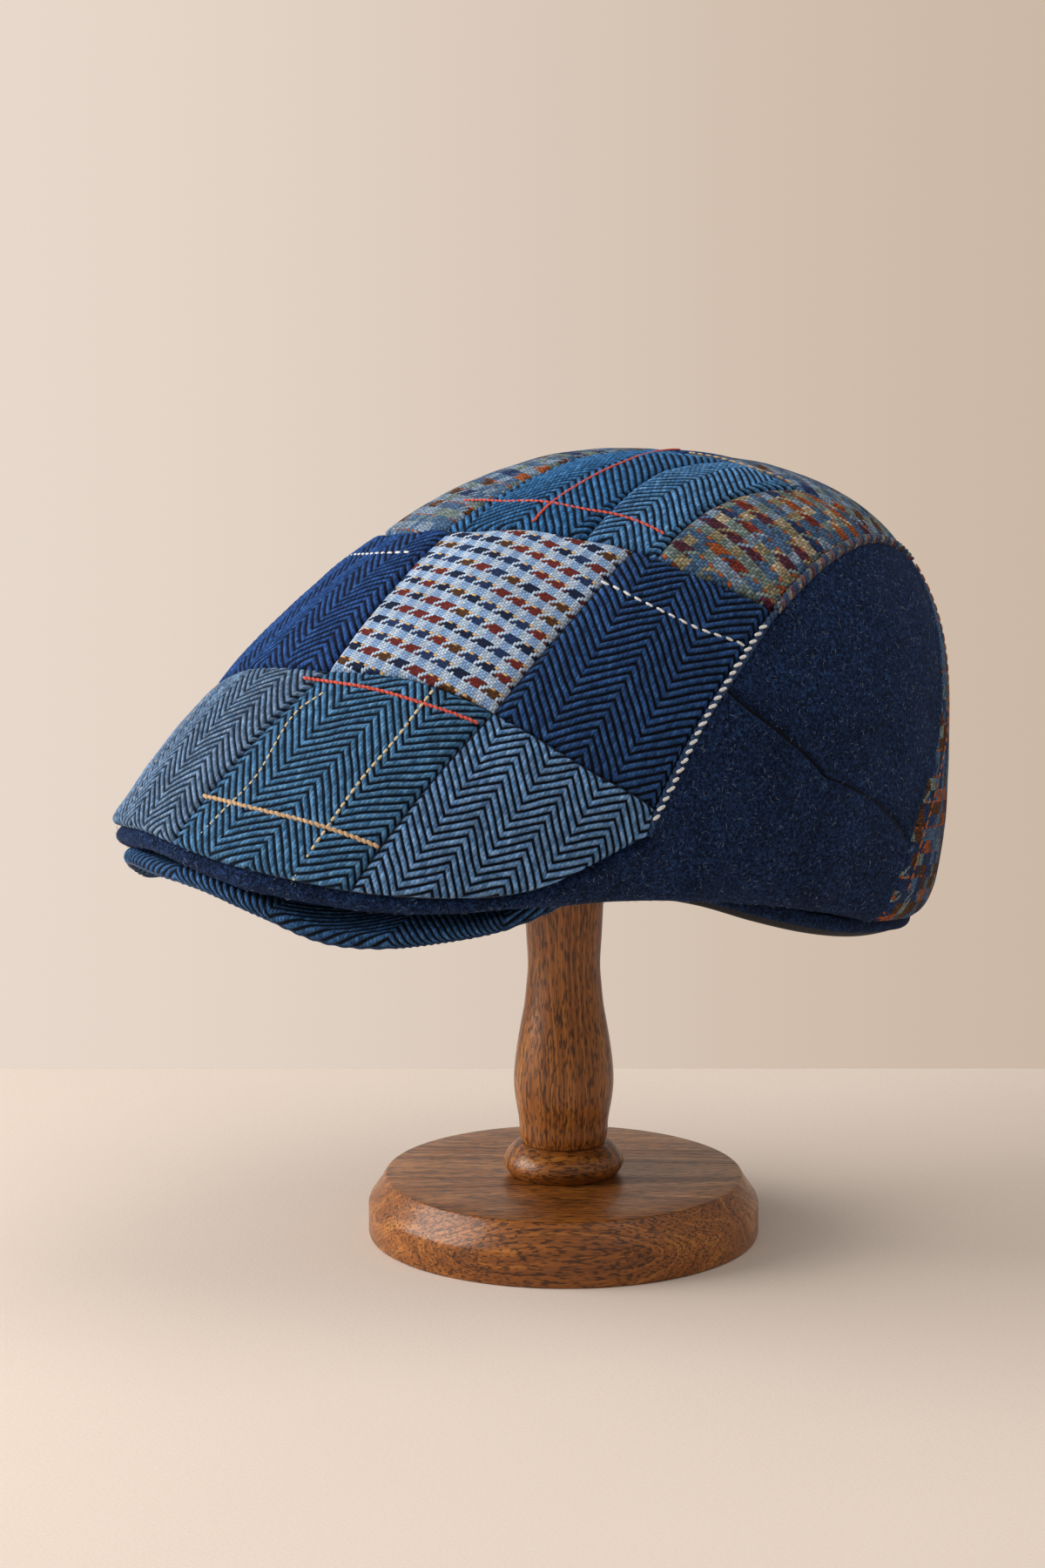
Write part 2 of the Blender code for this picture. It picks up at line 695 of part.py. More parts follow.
def turned_object(name, profile, height, parent):
    """A turned piece from radii and heights that run down its outer side, with both ends on
    the axis."""
    mesh = bpy.data.meshes.new(name)
    points = [(radius, 0.0, level) for radius, level in profile]
    mesh.from_pydata(points, [(i, i + 1) for i in range(len(points) - 1)], [])
    piece = add_object(name, mesh, "stained_wood", (0, 0, height), parent)
    turn = piece.modifiers.new("turning", "SCREW")
    turn.steps = TURNING_SIDES
    turn.render_steps = TURNING_SIDES
    turn.use_merge_vertices = True
    turn.merge_threshold = 1e-5
    return piece


def quarter_round(radius, top, depth, drop):
    """Points of a convex corner from its top edge, out by depth and down by drop."""
    steps = ROUND_STEPS // 2
    turns = [pi / 2 * i / steps for i in range(steps + 1)]
    return [(radius - depth + depth * sin(t), top - drop + drop * cos(t)) for t in turns]


def stand_objects(parent):
    """The turned disc, collar, stem and hidden head, one above the other."""
    chamfer = BASE_HEIGHT - BASE_SIDE_HEIGHT
    rim = quarter_round(BASE_RADIUS, BASE_HEIGHT, BASE_CHAMFER, chamfer)
    foot = [(BASE_RADIUS, BASE_FOOT_EASE), (BASE_RADIUS - BASE_FOOT_EASE, 0.0), (0.0, 0.0)]
    turned_object("stand_base", [(0.0, BASE_HEIGHT), *rim, *foot], 0.0, parent)

    bulge = COLLAR_HEIGHT / 2
    turns = [pi * i / ROUND_STEPS for i in range(ROUND_STEPS + 1)]
    side = [(COLLAR_RADIUS - bulge + bulge * sin(t), bulge + bulge * cos(t)) for t in turns]
    collar_foot = BASE_HEIGHT + CLEARANCE
    turned_object("stand_collar", [(0.0, COLLAR_HEIGHT), *side, (0.0, 0.0)], collar_foot, parent)

    dome = [(HEAD_DOME_RADIUS * sin(t / 2), HEAD_DOME_HEIGHT * cos(t / 2)) for t in turns]
    head_foot = head_rest_height(dome)
    turned_object("stand_head", [*dome, (0.0, 0.0)], head_foot, parent)

    stem_foot = collar_foot + COLLAR_HEIGHT + CLEARANCE
    stem_length = head_foot - CLEARANCE - stem_foot
    side = [
        (STEM_RADIUS * row.radius, stem_length * row.height) for row in reversed(STEM_TURNING)
    ]
    ends = ((0.0, stem_length), (0.0, 0.0))
    turned_object("stand_stem", [ends[0], *side, ends[1]], stem_foot, parent)


def head_rest_height(dome):
    """The height of the head's foot at which its dome first meets the crown from below."""
    lowest = RIM_HEIGHT + CAP_HEIGHT
    for radius, rise in dome:
        for step in range(HEAD_TURNS):
            turn = 2 * pi * step / HEAD_TURNS
            x, y = radius * sin(turn), -radius * cos(turn)
            reach = hypot(x, PLAN_CENTRE_Y - y)
            radii, heights, _ = meridian(atan2(x, PLAN_CENTRE_Y - y))
            radii, heights = radii[:MERIDIAN_SAMPLES], heights[:MERIDIAN_SAMPLES]
            steep = np.interp(reach, radii, np.gradient(heights, radii))
            inside = np.interp(reach, radii, heights) - CLOTH_WALL * hypot(1, steep)
            lowest = min(lowest, inside - rise)
    return float(lowest) - 2 * CLEARANCE


def add_group(name):
    group = bpy.data.objects.new(name, None)
    bpy.context.scene.collection.objects.link(group)
    return group


def build():
    clear_scene()
    cap = add_group("flat_cap")
    patch_objects(cap)
    side_objects(cap)
    band_object(cap)
    peak_object(cap)
    rim_objects(cap)
    welt_object("seam_welt_left", 1, cap)
    welt_object("seam_welt_right", -1, cap)
    stand_objects(add_group("stand"))


build()
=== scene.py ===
# Flat cap pieced from herringbone, houndstooth and navy felt, on a turned wooden stand.
# The peak points to -Y, the wearer's left is +X and the stand's underside is at height 0.
import math

import bpy
import numpy as np
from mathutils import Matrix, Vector


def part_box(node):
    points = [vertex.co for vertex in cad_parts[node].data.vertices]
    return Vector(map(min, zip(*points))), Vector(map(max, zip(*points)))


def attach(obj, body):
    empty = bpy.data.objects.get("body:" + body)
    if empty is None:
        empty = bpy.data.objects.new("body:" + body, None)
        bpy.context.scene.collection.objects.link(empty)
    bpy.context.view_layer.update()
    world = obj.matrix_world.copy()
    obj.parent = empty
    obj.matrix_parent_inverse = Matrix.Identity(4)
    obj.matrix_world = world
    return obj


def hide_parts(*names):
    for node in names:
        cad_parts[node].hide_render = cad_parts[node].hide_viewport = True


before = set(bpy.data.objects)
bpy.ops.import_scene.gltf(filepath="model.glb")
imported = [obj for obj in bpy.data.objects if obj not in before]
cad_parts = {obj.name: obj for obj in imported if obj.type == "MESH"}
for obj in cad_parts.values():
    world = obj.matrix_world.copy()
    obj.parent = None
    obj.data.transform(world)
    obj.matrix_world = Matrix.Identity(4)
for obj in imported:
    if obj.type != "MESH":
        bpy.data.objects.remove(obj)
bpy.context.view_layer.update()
mm = 0.001
print("frame loaded:", len(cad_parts), "nodes")

# the photographer's camera: turned from the front towards the wearer's left, slightly above
camera = {
    "azimuth": 58,
    "elevation": 10.5,
    "aim": (0.0, 0.0, 145.8 * mm),
    "distance": 1301.4 * mm,
    "aside": -13.15 * mm,
    "lens": 95,
    "sensor": 36,
}


# Materials. A desk adds nodes to a tree; a surface desk holds one material.
class NodeDesk:
    def __init__(self, tree):
        self.tree = tree

    def add(self, kind, inputs=(), **settings):
        node = self.tree.nodes.new(kind)
        for key, value in settings.items():
            setattr(node, key, value)
        for key, value in dict(inputs).items():
            self.feed(value, node.inputs[key])
        return node

    def feed(self, value, socket):
        if isinstance(value, bpy.types.NodeSocket):
            self.tree.links.new(value, socket)
        else:
            socket.default_value = value

    def calc(self, operation, *values):
        node = self.add("ShaderNodeMath", operation=operation)
        for value, socket in zip(values, node.inputs):
            self.feed(value, socket)
        return node.outputs[0]

    def blend(self, share, first, second, kind="MIX"):
        node = self.add("ShaderNodeMix", data_type="RGBA", blend_type=kind)
        self.feed(share, node.inputs[0])
        for value, socket in ((first, node.inputs[6]), (second, node.inputs[7])):
            self.feed((*value, 1) if isinstance(value, tuple) else value, socket)
        return node.outputs[2]

    def between(self, value, low, high, toLow, toHigh):
        node = self.add("ShaderNodeMapRange", {0: value, 1: low, 2: high, 3: toLow, 4: toHigh})
        return node.outputs[0]

    def joined(self, x, y, z):
        return self.add("ShaderNodeCombineXYZ", {0: x, 1: y, 2: z}).outputs[0]

    def chance(self, vector):
        return self.add("ShaderNodeTexWhiteNoise", {"Vector": vector}, noise_dimensions="3D").outputs[0]

    def noise(self, vector, scale, detail=2.0, rough=0.5, stretch=None):
        if stretch:
            vector = self.add("ShaderNodeMapping", {"Vector": vector, "Scale": stretch}).outputs[0]
        inputs = {"Vector": vector, "Scale": scale, "Detail": detail, "Roughness": rough}
        return self.add("ShaderNodeTexNoise", inputs).outputs[0]

    def ramp(self, value, *stops, constant=False):
        node = self.add("ShaderNodeValToRGB", {"Fac": value})
        band = node.color_ramp
        band.interpolation = "CONSTANT" if constant else "LINEAR"
        while len(band.elements) < len(stops):
            band.elements.new(0.5)
        for element, (place, colour) in zip(band.elements, stops):
            element.position = place
            element.color = (*colour, 1)
        return node.outputs[0]


class SurfaceDesk(NodeDesk):
    def __init__(self, name, roughness=0.9, sheen=0.0, sheenTint=(1, 1, 1), coat=0.0, specular=0.5):
        self.material = bpy.data.materials.new(name)
        self.material.use_nodes = True
        super().__init__(self.material.node_tree)
        self.surface = self.tree.nodes["Principled BSDF"]
        self.surface.inputs["Roughness"].default_value = roughness
        self.surface.inputs["Sheen Weight"].default_value = sheen
        self.surface.inputs["Sheen Roughness"].default_value = 0.45
        self.surface.inputs["Sheen Tint"].default_value = (*sheenTint, 1)
        self.surface.inputs["Coat Weight"].default_value = coat
        self.surface.inputs["Specular IOR Level"].default_value = specular

    def cloth(self):
        # weave map as two numbers, across and along the cloth, in metres
        uv = self.add("ShaderNodeUVMap", uv_map="weave").outputs[0]
        parts = self.add("ShaderNodeSeparateXYZ", {"Vector": uv})
        return uv, parts.outputs[0], parts.outputs[1]

    def place(self, turn=(0, 0, 0)):
        where = self.add("ShaderNodeTexCoord").outputs["Object"]
        return self.add("ShaderNodeMapping", {"Vector": where, "Rotation": turn}).outputs[0]

    def paint(self, colour, shade=None):
        # the surface's colour, made darker or lighter by a number
        if shade is not None:
            grey = self.add("ShaderNodeCombineColor", {0: shade, 1: shade, 2: shade}).outputs[0]
            colour = self.blend(1.0, colour, grey, "MULTIPLY")
        self.feed(colour, self.surface.inputs["Base Color"])

    def relief(self, height, distance, strength=1.0):
        node = self.add("ShaderNodeBump", {"Height": height, "Distance": distance, "Strength": strength})
        self.feed(node.outputs[0], self.surface.inputs["Normal"])


def bead(desk, across, along):
    # rounded top of one float of yarn, from 0 at its rim to 1 in its middle
    def arch(value, power):
        centred = desk.calc("SUBTRACT", desk.calc("MULTIPLY", value, 2.0), 1.0)
        squared = desk.calc("MULTIPLY", centred, centred)
        return desk.calc("POWER", desk.calc("MAXIMUM", desk.calc("SUBTRACT", 1.0, squared), 0.0), power)

    return desk.calc("MULTIPLY", arch(across, 0.35), arch(along, 0.75))


def twillThreads(desk, thread, column, repeat, sunk):
    # threads one by one: warp floats over two of every repeat, and the twill turns at each column,
    # where the ribs run on as ropes; without columns the floats step from thread to thread
    uv, u, v = desk.cloth()
    x, y = desk.calc("DIVIDE", u, thread), desk.calc("DIVIDE", v, thread)
    i, j = desk.calc("FLOOR", x), desk.calc("FLOOR", y)
    fx, fy = desk.calc("SUBTRACT", x, i), desk.calc("SUBTRACT", y, j)
    if column:
        slope = desk.calc("ADD", desk.calc("SUBTRACT", y, 0.5), desk.calc("PINGPONG", x, float(column)))
        acrossWarp = desk.between(fx, 0, 1, 0.02, 0.98)
    else:
        slope, acrossWarp = desk.calc("SUBTRACT", y, i), fx
    phase = desk.calc("FLOORED_MODULO", slope, float(repeat))
    warpTop = desk.calc("LESS_THAN", phase, 2.0)
    alongWarp = desk.calc("MULTIPLY", phase, 0.5)
    pastWarp = desk.calc("SUBTRACT", desk.calc("ADD", desk.calc("FLOOR", phase), desk.calc("SUBTRACT", 1.0, fx)), 2.0)
    alongWeft = desk.calc("DIVIDE", pastWarp, repeat - 2.0)
    warpBead = bead(desk, acrossWarp, alongWarp)
    # sunk lowers the weft floats, both in the relief and in the painted shade that finishWeave takes from the height
    weftBead = desk.calc("MULTIPLY", bead(desk, fy, alongWeft), sunk)
    height = desk.add("ShaderNodeMix", {0: warpTop, 2: weftBead, 3: warpBead}, data_type="FLOAT").outputs[0]
    # every float has its own shade
    turnOf = desk.calc("FLOOR", desk.calc("DIVIDE", slope, float(repeat)))
    warpSeed = desk.joined(i, turnOf, 0.0)
    weftSeed = desk.joined(j, turnOf, 7.0)
    seed = desk.add("ShaderNodeMix", {0: warpTop, 4: weftSeed, 5: warpSeed}, data_type="VECTOR").outputs[1]
    own = desk.chance(seed)
    return uv, i, j, warpTop, height, own


def finishWeave(desk, uv, thread, colour, height, own, melange, bump):
    # uneven dye, painted shade in the gaps between the floats and painted light on their tops, fibres and the relief of
    # the threads
    fleck = desk.noise(uv, 1 / (thread * 0.9), 3.0, 0.7)
    cloud = desk.noise(uv, 45.0, 2.0, 0.5)
    ownShade = desk.between(own, 0, 1, 1 - melange, 1 + melange)
    shade = desk.calc("MULTIPLY", ownShade, desk.between(fleck, 0.3, 0.7, 1 - melange, 1 + melange))
    shade = desk.calc("MULTIPLY", shade, desk.between(cloud, 0.3, 0.7, 0.88, 1.12))
    # painted shade and light: darker where a float falls to its rim or lies sunk, lighter on its top
    shade = desk.calc("MULTIPLY", shade, desk.between(height, 0.0, 0.7, 0.34, 1.18))
    desk.paint(colour, shade)
    fibre = desk.noise(uv, 1 / (thread * 0.3), 3.0, 0.65, stretch=(1, 0.5, 1))
    rise = desk.calc("ADD", height, desk.calc("MULTIPLY", fibre, 0.5))
    desk.relief(rise, thread * bump)
    return desk.material


def herringboneCloth(name, thread, column, warp, weft, melange=0.34, bump=0.6):
    desk = SurfaceDesk(name, roughness=0.88, sheen=0.03, sheenTint=warp[1], specular=0.16)
    uv, _, _, warpTop, height, own = twillThreads(desk, thread, column, herringboneRepeat, 0.12)
    tuft = desk.noise(uv, 1 / (thread * 2.2), 2.0, 0.7)
    warpColour = desk.blend(desk.between(tuft, 0.35, 0.7, 0, 1), warp[0], warp[1])
    colour = desk.blend(warpTop, desk.blend(own, weft[0], weft[1]), warpColour)
    return finishWeave(desk, uv, thread, colour, height, own, melange, bump)


def houndstoothCloth(name, thread, group, teeth, grounds, curl, melange=0.18, bump=0.5, curls=0.6):
    # group is the threads to a square, and every tooth has its own dye. Of two grounds the second shows
    # where a tooth's threads run on; of more grounds each square takes one by chance
    desk = SurfaceDesk(name, roughness=0.88, sheen=0.03, sheenTint=grounds[0], specular=0.16)
    uv, i, j, warpTop, height, own = twillThreads(desk, thread, 0, 4, 0.9)
    halfGroup, pair = group / 2.0, 2.0 * group
    columnGroup = desk.calc("FLOOR", desk.calc("DIVIDE", i, float(group)))
    rowGroup = desk.calc("FLOOR", desk.calc("DIVIDE", j, float(group)))
    darkColumn = desk.calc("FLOORED_MODULO", columnGroup, 2.0)
    darkRow = desk.calc("FLOORED_MODULO", rowGroup, 2.0)
    toothColumn = desk.calc("FLOOR", desk.calc("DIVIDE", desk.calc("SUBTRACT", i, halfGroup), pair))
    toothRow = desk.calc("FLOOR", desk.calc("DIVIDE", j, pair))
    tooth = desk.joined(toothColumn, toothRow, 0.0)
    pick = desk.chance(tooth)
    toothDye = desk.ramp(pick, *[(k / len(teeth), dye) for k, dye in enumerate(teeth)], constant=True)
    if len(grounds) == 2:
        ground = desk.blend(desk.calc("MULTIPLY", darkColumn, 0.75), *grounds)
    else:
        square = desk.joined(columnGroup, rowGroup, 3.0)
        chance = desk.chance(square)
        ground = desk.ramp(chance, *[(k / len(grounds), dye) for k, dye in enumerate(grounds)], constant=True)
    edgePick = desk.calc("GREATER_THAN", desk.calc("FLOORED_MODULO", j, pair), pair - 1.5)
    curlShare = desk.calc("MULTIPLY", edgePick, desk.calc("LESS_THAN", pick, curls))
    rowDye = desk.blend(curlShare, toothDye, curl)
    weftColour = desk.blend(darkRow, ground, rowDye)
    both = desk.calc("MULTIPLY", darkRow, darkColumn)
    warpColour = desk.blend(both, ground, toothDye)
    colour = desk.blend(warpTop, weftColour, warpColour)
    return finishWeave(desk, uv, thread, colour, height, own, melange, bump)


def feltCloth(name, deep, light, sheen=0.06):
    desk = SurfaceDesk(name, roughness=0.95, sheen=sheen, sheenTint=(0.35, 0.55, 1.0), specular=0.10)
    where = desk.place()
    nap = desk.noise(where, 900.0, 3.0, 0.65)
    cloud = desk.noise(where, 55.0, 3.0, 0.5)
    drift = desk.add("ShaderNodeTexNoise", {"Vector": where, "Scale": 700.0, "Detail": 2.0}).outputs[1]
    bent = desk.add("ShaderNodeVectorMath", {0: drift, 1: (0.5, 0.5, 0.5)}, operation="SUBTRACT").outputs[0]
    bent = desk.add("ShaderNodeVectorMath", {0: bent}, operation="SCALE")
    bent.inputs["Scale"].default_value = 2.4 * mm
    bent = desk.add("ShaderNodeVectorMath", {0: where, 1: bent.outputs[0]}, operation="ADD").outputs[0]
    fibres = []
    for scale in (640.0, 980.0):
        cells = desk.add("ShaderNodeTexVoronoi", {"Vector": bent, "Scale": scale}, feature="DISTANCE_TO_EDGE").outputs[0]
        fibres.append(desk.between(cells, 0.0, 0.11, 1.0, 0.0))
    thread = desk.calc("MAXIMUM", *fibres)
    colour = desk.blend(desk.between(nap, 0.35, 0.75, 0, 0.6), deep, light)
    shown = desk.calc("MULTIPLY", thread, desk.between(nap, 0.40, 0.62, 0.10, 1.0))
    colour = desk.blend(shown, colour, tuple(3.3 * c for c in light))
    shade = desk.between(cloud, 0.3, 0.7, 0.78, 1.2)
    desk.paint(colour, shade)
    rise = desk.calc("ADD", nap, desk.calc("MULTIPLY", thread, 0.7))
    desk.relief(rise, 0.30 * mm, 0.9)
    return desk.material


def ribbonCloth(name, colour, rib=0.7 * mm):
    # a ribbed band: the ribs run up and down
    desk = SurfaceDesk(name, roughness=0.55, sheen=0.15, specular=0.4)
    uv, u, _ = desk.cloth()
    ribWave = desk.calc("SINE", desk.calc("MULTIPLY", u, 2 * math.pi / rib))
    nap = desk.noise(uv, 3000.0, 2.0)
    # painted shade and light along the ribs: darker in their hollows, lighter on their crests, with a little random nap
    shade = desk.between(desk.calc("ADD", ribWave, nap), -1.0, 2.0, 0.6, 1.3)
    desk.paint(colour, shade)
    desk.relief(ribWave, 0.08 * mm)
    return desk.material


def satinCloth(name, colour):
    desk = SurfaceDesk(name, roughness=0.38, sheen=0.1, specular=0.5)
    where = desk.place()
    crease = desk.noise(where, 70.0, 3.0, 0.55)
    thread = desk.noise(where, 1800.0, 2.0, 0.5, stretch=(1, 0.1, 1))
    # painted sheen: the colour turns lighter along the same noise that raises the creases
    desk.paint(desk.blend(crease, colour, tuple(1.7 * c for c in colour)))
    desk.relief(desk.calc("ADD", crease, desk.calc("MULTIPLY", thread, 0.1)), 0.6 * mm, 0.6)
    return desk.material


def yarn(name, dark, light, others=()):
    # others are more dyes that the yarn runs through, a few millimetres of each
    desk = SurfaceDesk(name, roughness=0.85, sheen=0.12, specular=0.2)
    where = desk.place()
    fibre = desk.noise(where, 1500.0, 3.0, 0.6)
    colour = desk.blend(desk.between(fibre, 0.3, 0.7, 0, 1), dark, light)
    if others:
        patch = desk.noise(where, 230.0, 2.0, 0.6)
        dyes = (light, *others)
        stops = [(0.34 + 0.32 * k / len(dyes), dye) for k, dye in enumerate(dyes)]
        colour = desk.blend(desk.between(fibre, 0.35, 0.65, 0.25, 1), dark, desk.ramp(patch, *stops))
    desk.paint(colour)
    desk.relief(fibre, 0.15 * mm)
    return desk.material


def stainedWood(name, grain, turn=(0, 0, 0)):
    # grain stretches the pores and rings along the plank
    dark, middle, light = (0.070, 0.020, 0.003), (0.29, 0.090, 0.013), (0.56, 0.22, 0.040)
    desk = SurfaceDesk(name, roughness=0.36, coat=0.12, specular=0.38)
    where = desk.place(turn=turn)
    warp = desk.noise(where, 14.0, 2.0, 0.5, stretch=grain)
    rings = desk.add("ShaderNodeMapping", {"Vector": where, "Scale": grain}).outputs[0]
    bent = desk.add("ShaderNodeVectorMath", {0: rings, 1: desk.joined(warp, warp, 0.0)}, operation="ADD").outputs[0]
    streak = desk.noise(bent, 60.0, 5.0, 0.62)
    fine = desk.noise(bent, 420.0, 3.0, 0.6)
    pores = desk.noise(where, 1500.0, 1.0, 0.5, stretch=tuple(0.16 if g < 0.5 else 1.0 for g in grain))
    tone = desk.calc("ADD", desk.calc("MULTIPLY", streak, 0.7), desk.calc("MULTIPLY", fine, 0.3))
    colour = desk.ramp(tone, (0.30, dark), (0.5, middle), (0.68, light))
    pit = desk.between(pores, 0.38, 0.50, 0.30, 1.0)
    desk.paint(colour, pit)
    desk.feed(desk.between(streak, 0.3, 0.7, 0.46, 0.30), desk.surface.inputs["Roughness"])
    rise = desk.calc("ADD", desk.calc("MULTIPLY", fine, 0.5), desk.calc("MULTIPLY", pit, 0.6))
    desk.relief(rise, 0.12 * mm, 0.7)
    return desk.material


herringboneRepeat = 3
weaves = {
    # thread in metres, threads to a column, then two shades of warp and of weft
    "light_blue_herringbone": (
        0.94 * mm, 9, ((0.078, 0.150, 0.275), (0.19, 0.28, 0.41)),
        ((0.010, 0.030, 0.070), (0.02, 0.050, 0.10)),
    ),
    "teal_windowpane": (
        1.04 * mm, 12, ((0.032, 0.120, 0.26), (0.105, 0.25, 0.43)),
        ((0.002, 0.011, 0.030), (0.005, 0.020, 0.048)),
    ),
    "fine_herringbone": (
        1.05 * mm, 8, ((0.060, 0.16, 0.34), (0.20, 0.35, 0.58)),
        ((0.002, 0.008, 0.024), (0.005, 0.016, 0.040)),
    ),
    # the peak's cloth is a darker copy of the fine herringbone: its darkness is partly the cloth and partly painted
    # shade under the crown
    "shaded_peak_herringbone": (
        1.05 * mm, 34, ((0.012, 0.055, 0.15), (0.055, 0.15, 0.34)),
        ((0.001, 0.004, 0.014), (0.003, 0.009, 0.026)),
    ),
    "royal_herringbone": (
        1.02 * mm, 9, ((0.012, 0.050, 0.19), (0.030, 0.090, 0.27)),
        ((0.003, 0.009, 0.036), (0.006, 0.016, 0.055)),
    ),
    "navy_herringbone": (
        1.08 * mm, 11, ((0.010, 0.042, 0.15), (0.034, 0.098, 0.25)),
        ((0.001, 0.004, 0.015), (0.003, 0.009, 0.028)),
    ),
    "teal_herringbone": (
        1.08 * mm, 16, ((0.018, 0.100, 0.26), (0.060, 0.20, 0.42)),
        ((0.002, 0.011, 0.034), (0.006, 0.024, 0.064)),
    ),
    "mid_blue_herringbone": (
        1.06 * mm, 11, ((0.045, 0.16, 0.36), (0.13, 0.31, 0.56)),
        ((0.004, 0.018, 0.052), (0.010, 0.034, 0.085)),
    ),
}
cloths = {
    name: herringboneCloth(name, thread, column, warp, weft)
    for name, (thread, column, warp, weft) in weaves.items()
}
ink, navyDye, maroon = (0.008, 0.015, 0.045), (0.016, 0.034, 0.105), (0.15, 0.022, 0.018)
brown, rust, gold = (0.085, 0.036, 0.014), (0.30, 0.075, 0.022), (0.60, 0.38, 0.17)
plum, slate, khaki = (0.075, 0.020, 0.038), (0.060, 0.12, 0.22), (0.26, 0.22, 0.13)
sage, sand, mist = (0.16, 0.21, 0.20), (0.40, 0.33, 0.22), (0.19, 0.26, 0.35)
cloths["houndstooth"] = houndstoothCloth(
    "houndstooth", 0.74 * mm, 4, (ink, maroon, navyDye, brown, maroon, ink, navyDye, maroon),
    ((0.45, 0.56, 0.71), (0.17, 0.32, 0.60)), gold,
)
cloths["brown_houndstooth"] = houndstoothCloth(
    "brown_houndstooth", 0.98 * mm, 4, (plum, rust, slate, maroon, navyDye, slate, rust, plum),
    (khaki, slate, sage, sand, mist, sage), rust, melange=0.42, curls=0.7,
)
cloths["grey_plaid"] = houndstoothCloth(
    "grey_plaid", 0.80 * mm, 5, (slate, brown, slate, navyDye, rust, slate), (mist, slate, sage, mist), rust, melange=0.4,
)
cloths["back_plaid"] = houndstoothCloth(
    "back_plaid", 0.80 * mm, 5, (navyDye, rust, slate, brown, navyDye, slate), (slate, navyDye, brown, slate, sage), rust,
    melange=0.4,
)
cloths["navy_felt"] = feltCloth("navy_felt", (0.0012, 0.0038, 0.015), (0.0088, 0.0225, 0.067))
cloths["dark_ribbon"] = ribbonCloth("dark_ribbon", (0.012, 0.012, 0.016))
cloths["lining_satin"] = satinCloth("lining_satin", (0.012, 0.020, 0.045))
whiteYarn = yarn("white_yarn", (0.55, 0.56, 0.58), (0.92, 0.91, 0.88))
tanYarn = yarn("tan_yarn", (0.36, 0.21, 0.10), (0.72, 0.50, 0.30))
creamYarn = yarn("cream_yarn", (0.50, 0.38, 0.20), (0.84, 0.70, 0.46))
redYarn = yarn("red_yarn", (0.42, 0.045, 0.030), (0.76, 0.13, 0.09))
orangeYarn = yarn("orange_yarn", (0.26, 0.070, 0.022), (0.50, 0.17, 0.06))
royalYarn = yarn("royal_yarn", (0.008, 0.022, 0.075), (0.040, 0.095, 0.22))
tweedYarn = yarn("tweed_yarn", (0.014, 0.022, 0.040), khaki, (slate, sand, navyDye, sage))
tweedYarnDark = yarn("tweed_yarn_dark", (0.016, 0.014, 0.020), plum, (navyDye, rust, slate, brown))
navyYarn = yarn("navy_yarn", (0.006, 0.014, 0.045), (0.030, 0.070, 0.16))
# near-black yarn for the cords in the dart grooves: painted shade of the grooves
grooveShadeYarn = yarn("groove_shade_yarn", (0.0006, 0.001, 0.003), (0.002, 0.004, 0.012))
feltFibre = yarn("felt_fibre", (0.060, 0.11, 0.22), (0.38, 0.46, 0.58))
print("materials made")

# The cap's sections, at angles in degrees from the peak, the same on both sides.
# Heights are shares of the cap's height above its rim: widest line, and the fold under it.
cap = {
    "planCentreY": 18 * mm,
    "halfWidth": 96 * mm,
    "frontReach": 166 * mm,
    "backReach": 109 * mm,
    "frontFullness": 2.2,
    "backFullness": 2.06,
    "foldFullness": 2.5,
    "rimHeight": 96.5 * mm,
    "height": 152 * mm,
    "headFrontReach": 98 * mm,
    "headFullness": 2.1,
    "hemWall": 4 * mm,
    "clearance": 0.3 * mm,
}
sectionAngles = [0, 15, 30, 45, 60, 75, 90, 105, 120, 135, 150, 180]
sectionRows = {
    "widest": [0.326, 0.289, 0.247, 0.247, 0.326, 0.385, 0.411, 0.418, 0.421, 0.424, 0.431, 0.460],
    "fold": [0.280, 0.237, 0.204, 0.204, 0.197, 0.178, 0.155, 0.122, 0.082, 0.056, 0.043, 0.038],
    "hem": [0.200, 0.200, 0.200, 0.200, 0.200, 0.174, 0.128, 0.086, 0.053, 0.030, 0.010, 0.000],
    "tuck": [0.083, 0.083, 0.094, 0.125, 0.146, 0.146, 0.140, 0.135, 0.128, 0.120, 0.110, 0.095],
    "slope": [1.22, 1.18, 1.31, 1.51, 1.72, 1.92, 2.00, 2.10, 2.25, 2.45, 2.60, 2.45],
    "flat": [1.60, 1.74, 1.98, 2.10, 2.17, 2.25, 2.40, 2.50, 2.60, 2.60, 2.60, 2.50],
}


def hermite(share, width, left, right, slopeIn, slopeOut):
    return (
        (2 * share**3 - 3 * share**2 + 1) * left
        + (share**3 - 2 * share**2 + share) * slopeIn * width
        + (3 * share**2 - 2 * share**3) * right
        + (share**3 - share**2) * slopeOut * width
    )


def tableCurve(knots, values, degreesWanted):
    # mirrored at both ends, so the cap is smooth across its middle
    knots = np.array(knots, float)
    values = np.array(values, float)
    knots = np.concatenate([[-knots[1]], knots, [2 * knots[-1] - knots[-2]]])
    values = np.concatenate([[values[1]], values, [values[-2]]])
    slopes = (values[2:] - values[:-2]) / (knots[2:] - knots[:-2])
    wanted = np.abs(np.asarray(degreesWanted, float))
    wanted = np.where(wanted > 180, 360 - wanted, wanted)
    inner = knots[1:-1]
    k = np.clip(np.searchsorted(inner, wanted, side="right") - 1, 0, len(inner) - 2)
    width = inner[k + 1] - inner[k]
    share = (wanted - inner[k]) / width
    return hermite(share, width, values[k + 1], values[k + 2], slopes[k], slopes[k + 1])


